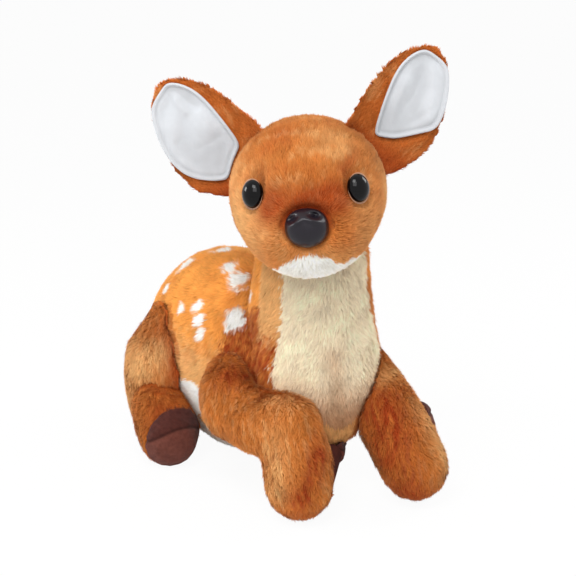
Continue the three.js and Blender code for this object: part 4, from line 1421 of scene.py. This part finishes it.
class FAWN_OT_hooves(bpy.types.Operator):
    """Suede hooves in two panels"""

    bl_idname = "fawn.hooves"
    bl_label = "Hooves"

    def execute(self, context):
        suede = material(
            "Suede", attribute="suede_colour", mottle=(420, 0.22), grain=(2200, 0.0004, 1),
            Roughness=0.95, Sheen_Weight=0.08, Specular_IOR_Level=0.1,
        )
        for name in ("foreleg_right_hoof", "foreleg_left_hoof", "hind_hoof_right", "hind_hoof_left"):
            made = make_skin(name + "_suede", (name,), 1.0 * MM, rounds=4)
            mesh = made.data
            p, n = mesh_points(mesh), mesh_normals(mesh)
            low, high = p[:, 2].min(), p[:, 2].max()
            middle = (p[:, 0].min() + p[:, 0].max()) / 2
            seam = low + (high - low) * 0.74 - 0.024 * (p[:, 0] - middle) ** 2
            share = step_between(p[:, 2], seam - 0.4, seam + 0.4)
            groove = np.exp(-(((p[:, 2] - seam) / 0.9) ** 2))
            p = p - n * (groove * 0.8 + 0.2)[:, None]
            # The end that is sewn to the shin is drawn towards it
            toward = unit(node_centre(name.replace("hoof", "shin")) - node_centre(name))
            along = p @ toward
            p = p + (step_between(along, along.max() - 3.5, along.max() - 1) * 2.2)[:, None] * toward
            p[:, 2] = np.maximum(p[:, 2], 0.2)
            set_points(mesh, p)
            rgb = mixed(everywhere(tint("suede"), p), tint("suede_dark"), share)
            paint(mesh, "suede_colour", rgb * (1 - groove * 0.5)[:, None])
            mesh.materials.append(suede)
            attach(made, body_of(name))
            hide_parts(name)
        return {"FINISHED"}


class FAWN_OT_inner(bpy.types.Operator):
    """Bag of pellets and washers, which nothing outside shows"""

    bl_idname = "fawn.inner"
    bl_label = "Inner parts"

    def execute(self, context):
        c = colours()
        canvas = material(
            "Canvas", tuple(c.canvas), mottle=(400, 0.1), grain=(1800, 0.0002, 1), Roughness=0.9
        )
        white = material("Washer", tuple(c.washer), mottle=(100, 0.03), Roughness=0.45)
        for name in ("pellet_bag", "eye_right_washer", "eye_left_washer", "nose_washer"):
            nodes[name].data.materials.clear()
            nodes[name].data.materials.append(canvas if name == "pellet_bag" else white)
        return {"FINISHED"}


# The point that the camera looks at, in millimetres, and the distance of the lamps from it, in metres
LOOK_AT = (4, -17.809, 114)
LAMP_DISTANCE = 0.85


def place_camera(scene, g, target, out):
    lens = bpy.data.cameras.new("Camera")
    lens.lens = g.focal
    lens.sensor_width = 36
    lens.clip_start, lens.clip_end = 0.05, 20
    camera = bpy.data.objects.new("Camera", lens)
    scene.collection.objects.link(camera)
    camera.location = target + out * g.distance
    camera.rotation_euler = (-out).to_track_quat("-Z", "Y").to_euler()
    scene.camera = camera


def place_lamps(scene, g, target, out):
    right = Vector((math.cos(g.azimuth), math.sin(g.azimuth), 0))
    upright = right.cross(-out).normalized()
    # Name, power, width, height, and the way from the object: aside, up and towards the camera
    lamps = [
        ("window", g.window, 0.40, 0.28, -0.20, 0.62, 0.74),
        ("fill", g.fill, 0.50, 0.40, -0.10, 0.36, 0.93),
        ("right", g.key, 0.30, 0.34, 0.78, 0.58, -0.14),
        ("left", g.key * 0.9, 0.26, 0.22, -0.94, 0.34, -0.02),
    ]
    for name, power, wide, high, aside, up, toward in lamps:
        lamp = bpy.data.lights.new(name, "AREA")
        lamp.shape = "RECTANGLE"
        lamp.size, lamp.size_y = wide, high
        lamp.energy = power
        made = bpy.data.objects.new(name, lamp)
        made.visible_camera = False
        scene.collection.objects.link(made)
        place = (right * aside + upright * up + out * toward).normalized() * LAMP_DISTANCE
        made.location = target + place
        made.rotation_euler = (-place).to_track_quat("-Z", "Y").to_euler()


def light_world(scene, sky):
    """A white world, whose light on the object has the given strength."""
    world = bpy.data.worlds.new("World")
    scene.world = world
    world.use_nodes = True
    tree = world.node_tree
    back = tree.nodes["Background"]
    back.inputs["Color"].default_value = (1, 1, 1, 1)
    strength = tree.nodes.new("ShaderNodeMapRange")
    strength.inputs["To Min"].default_value = sky
    strength.inputs["To Max"].default_value = 1
    tree.links.new(background_rays(tree), strength.inputs["Value"])
    tree.links.new(strength.outputs["Result"], back.inputs["Strength"])


class FAWN_OT_stage(bpy.types.Operator):
    """Camera, lamps, white floor and backdrop"""

    bl_idname = "fawn.stage"
    bl_label = "Stage"

    def execute(self, context):
        scene = context.scene
        g = scene.fawn_stage
        target = Vector(LOOK_AT) * MM
        a, e = g.azimuth, g.elevation
        out = Vector((math.sin(a) * math.cos(e), -math.cos(a) * math.cos(e), math.sin(e)))
        place_camera(scene, g, target, out)
        bm = bmesh.new()
        bmesh.ops.create_grid(bm, x_segments=1, y_segments=1, size=3)
        floor = add_object("floor", mesh_from(bm, "floor"))
        floor.data.materials.append(floor_material(tuple(colours().floor)))
        place_lamps(scene, g, target, out)
        light_world(scene, g.sky)
        scene.view_settings.view_transform = "Standard"
        return {"FINISHED"}


def background_rays(tree):
    """A socket that is 1 for rays that see the white background, as the camera, gloss and glass do."""
    path = tree.nodes.new("ShaderNodeLightPath")
    seen = maths(tree, "MAXIMUM", path.outputs["Is Camera Ray"], path.outputs["Is Glossy Ray"])
    return maths(tree, "MAXIMUM", seen, path.outputs["Is Transmission Ray"])


def floor_material(pale):
    """Pale floor that shows white and keeps the object's shadow."""
    made = bpy.data.materials.new("Floor")
    made.use_nodes = True
    tree = made.node_tree
    shader = tree.nodes["Principled BSDF"]
    shader.inputs["Base Color"].default_value = (*pale, 1)
    shader.inputs["Roughness"].default_value = 0.9
    shader.inputs["Specular IOR Level"].default_value = 0.1
    glow = tree.nodes.new("ShaderNodeEmission")
    glow.inputs["Color"].default_value = (1, 1, 1, 1)
    mix = tree.nodes.new("ShaderNodeMixShader")
    tree.links.new(maths(tree, "MULTIPLY", background_rays(tree), 0.95), mix.inputs["Fac"])
    tree.links.new(shader.outputs[0], mix.inputs[1])
    tree.links.new(glow.outputs[0], mix.inputs[2])
    tree.links.new(mix.outputs[0], tree.nodes["Material Output"].inputs["Surface"])
    return made


STEPS = (
    FAWN_OT_skins, FAWN_OT_pile, FAWN_OT_eyes, FAWN_OT_nose,
    FAWN_OT_linings, FAWN_OT_hooves, FAWN_OT_inner, FAWN_OT_stage,
)


class FAWN_PT_panel(bpy.types.Panel):
    """Buttons for each group of pieces"""

    bl_idname = "FAWN_PT_panel"
    bl_label = "Plush Fawn"
    bl_space_type = "VIEW_3D"
    bl_region_type = "UI"
    bl_category = "Fawn"

    def draw(self, context):
        for step in STEPS:
            self.layout.operator(step.bl_idname)


GROUPS = {"fawn_sizes": FAWN_PG_sizes, "fawn_colours": FAWN_PG_colours, "fawn_stage": FAWN_PG_stage}


def register():
    for made in (*GROUPS.values(), *STEPS, FAWN_PT_panel):
        bpy.utils.register_class(made)
    for name, kind in GROUPS.items():
        setattr(bpy.types.Scene, name, PointerProperty(type=kind))


def unregister():
    for name in GROUPS:
        delattr(bpy.types.Scene, name)
    for made in reversed((*GROUPS.values(), *STEPS, FAWN_PT_panel)):
        bpy.utils.unregister_class(made)


def main():
    register()
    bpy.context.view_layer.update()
    bpy.ops.fawn.skins()
    bpy.ops.fawn.pile()
    bpy.ops.fawn.eyes()
    bpy.ops.fawn.nose()
    bpy.ops.fawn.linings()
    bpy.ops.fawn.hooves()
    bpy.ops.fawn.inner()
    bpy.ops.fawn.stage()
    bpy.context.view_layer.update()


if __name__ == "__main__":
    main()
